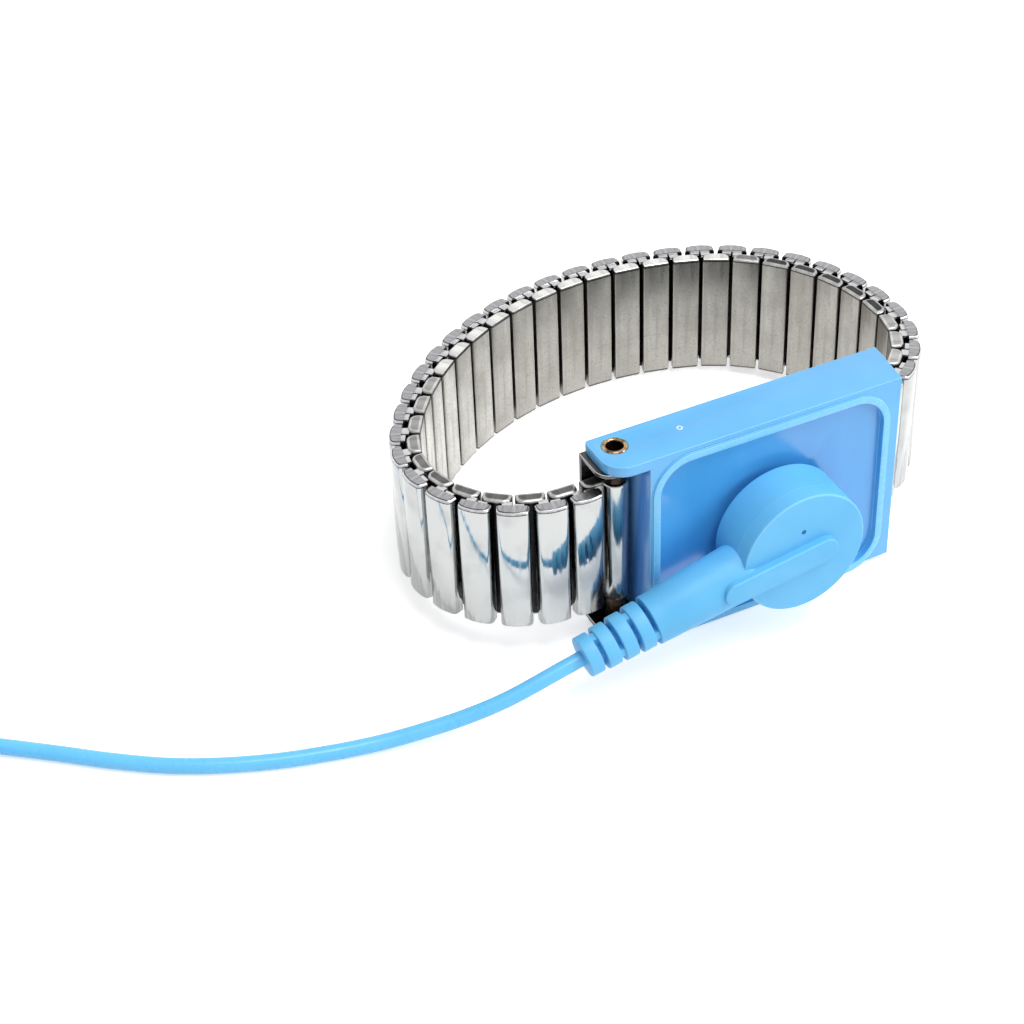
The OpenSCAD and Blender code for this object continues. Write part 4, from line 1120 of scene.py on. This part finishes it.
def make_grip():
    """A lathe profile: a tapered grip with grip rings, closed round the pin."""
    crest, root = GRIP_R - 0.35, GRIP_R - 0.6
    rings = []
    for low in GRIP_RING_FROM + GRIP_RING_PITCH * np.arange(GRIP_RINGS):
        rings += [(crest, low), (root, low + 0.25), (root, low + 0.75), (crest, low + 1.0)]
    profile = lathe(
        (0.95, 0.0),
        (1.8, 0.0),
        (2.0, 0.2),
        (2.6, 5.0),
        (root, 8.0),
        (GRIP_R - 0.4, 9.0),
        rings,
        (GRIP_R - 0.3, GRIP_LEN - 6),
        (GRIP_R, GRIP_LEN - 4.5),
        rim(GRIP_R, GRIP_LEN, 0.6),
        (1.6, GRIP_LEN),
    )
    return Piece("plug_grip", lying).add(turned(profile, 48), on_tail).make(
        "lead", "plug_blue", [PLUG_BLUE], ["banana_grip"], 35
    )


def make_pin():
    """The split pin: a merged copy of the solid with its edges softened."""
    return merged_copy("banana_pin", "plug_pin", "lead", [NICKEL], 0.12)


tie, grip, pin = make_tie(), make_grip(), make_pin()

# ---------------------------------------------------------------- solids that stay
for node, material in {
    "far_pin": NICKEL,
    "snap_stud": NICKEL,
    "stud_rivet": NICKEL,
    "contact_strip": SPRING_BRASS,
    "snap_socket": NICKEL,
    "socket_spring": DARK_STEEL,
    "plug_core": CORE_DARK,
    "safety_resistor": RESISTOR_TAN,
    "splice_crimp": NICKEL,
    "banana_crimp": SPRING_BRASS,
}.items():
    solid = frame["nodes"][node].data
    solid.materials.clear()
    solid.materials.append(material)


# ---------------------------------------------------------------- floor and light
AMBIENT, CEILING, FLOOR_LIFT = 0.6, 0.5, 0.5
DIMS_FROM, DIMS_TO = 0.66, 0.86
FROM_LEFT, FROM_RIGHT = 0.62, 1.38
FLOOR_HALF = 3.0
STRAP_MIDDLE = (0, 0, 0.01)


def seen_directly(tree):
    """1 for rays from the camera, a mirror or through glass, 0 for the light that falls on things."""
    path = tree.nodes.new("ShaderNodeLightPath")
    total = path.outputs["Is Camera Ray"]
    for kind in ("Is Glossy Ray", "Is Transmission Ray"):
        both = tree.nodes.new("ShaderNodeMath")
        both.operation = "MAXIMUM"
        tree.links.new(total, both.inputs[0])
        tree.links.new(path.outputs[kind], both.inputs[1])
        total = both.outputs[0]
    return total


def make_floor():
    """A pale floor that the eye and mirrors see a little brighter than it lights things."""
    mesh = bpy.data.meshes.new("floor")
    corners = [(x * FLOOR_HALF, y * FLOOR_HALF, 0) for x, y in ((-1, -1), (1, -1), (1, 1), (-1, 1))]
    mesh.from_pydata(corners, [], [(0, 1, 2, 3)])
    f = Finish("floor_white", Roughness=0.9)
    f.shader.inputs["Specular IOR Level"].default_value = 0.1
    f.shader.inputs["Emission Strength"].default_value = FLOOR_LIFT
    f.feed("Base Color", f.mix(f.noise(4, 2), (0.88, 0.88, 0.88, 1), (0.9, 0.9, 0.9, 1)))
    f.feed("Emission Color", f.mix(Value(f, seen_directly(f.tree)), (0, 0, 0, 1), (1, 1, 1, 1)))
    floor = new_object("floor", mesh, [f.material])


def make_world():
    """Soft light from all round, stronger from the right. Mirrors see a sweep that darkens overhead."""
    world = bpy.data.worlds.new("studio")
    bpy.context.scene.world = world
    world.use_nodes = True
    tree = world.node_tree
    background = tree.nodes["Background"]
    background.inputs["Color"].default_value = (1, 1, 1, 1)
    where = tree.nodes.new("ShaderNodeTexCoord")
    parts = tree.nodes.new("ShaderNodeSeparateXYZ")
    tree.links.new(where.outputs["Generated"], parts.inputs[0])
    sweep = tree.nodes.new("ShaderNodeMapRange")
    for socket, value in enumerate((DIMS_FROM, DIMS_TO, 1.0, CEILING), 1):
        sweep.inputs[socket].default_value = value
    tree.links.new(parts.outputs["Z"], sweep.inputs["Value"])
    side = tree.nodes.new("ShaderNodeMapRange")
    for socket, value in enumerate((-1.0, 1.0, FROM_LEFT * AMBIENT, FROM_RIGHT * AMBIENT), 1):
        side.inputs[socket].default_value = value
    tree.links.new(parts.outputs["X"], side.inputs["Value"])
    strength = tree.nodes.new("ShaderNodeMapRange")
    tree.links.new(side.outputs[0], strength.inputs["To Min"])
    tree.links.new(sweep.outputs[0], strength.inputs["To Max"])
    tree.links.new(seen_directly(tree), strength.inputs["Value"])
    tree.links.new(strength.outputs[0], background.inputs["Strength"])


def soft_box(name, place, aim, size, power):
    """A flat lamp at its place, turned to what it lights."""
    data = bpy.data.lights.new(name, "AREA")
    data.shape = "RECTANGLE"
    data.size, data.size_y = size
    data.energy = power
    lamp = bpy.data.objects.new(name, data)
    bpy.context.scene.collection.objects.link(lamp)
    lamp.location = place
    lamp.rotation_mode = "QUATERNION"
    lamp.rotation_quaternion = (Vector(aim) - Vector(place)).to_track_quat("-Z", "Y")


make_floor()
make_world()
soft_box("key", (0.12, -0.12, 0.8), STRAP_MIDDLE, (0.5, 0.4), 4.2)
soft_box("side", (0.5, -0.45, 0.35), STRAP_MIDDLE, (0.3, 0.3), 1.5)

bpy.context.scene.view_settings.view_transform = "Standard"
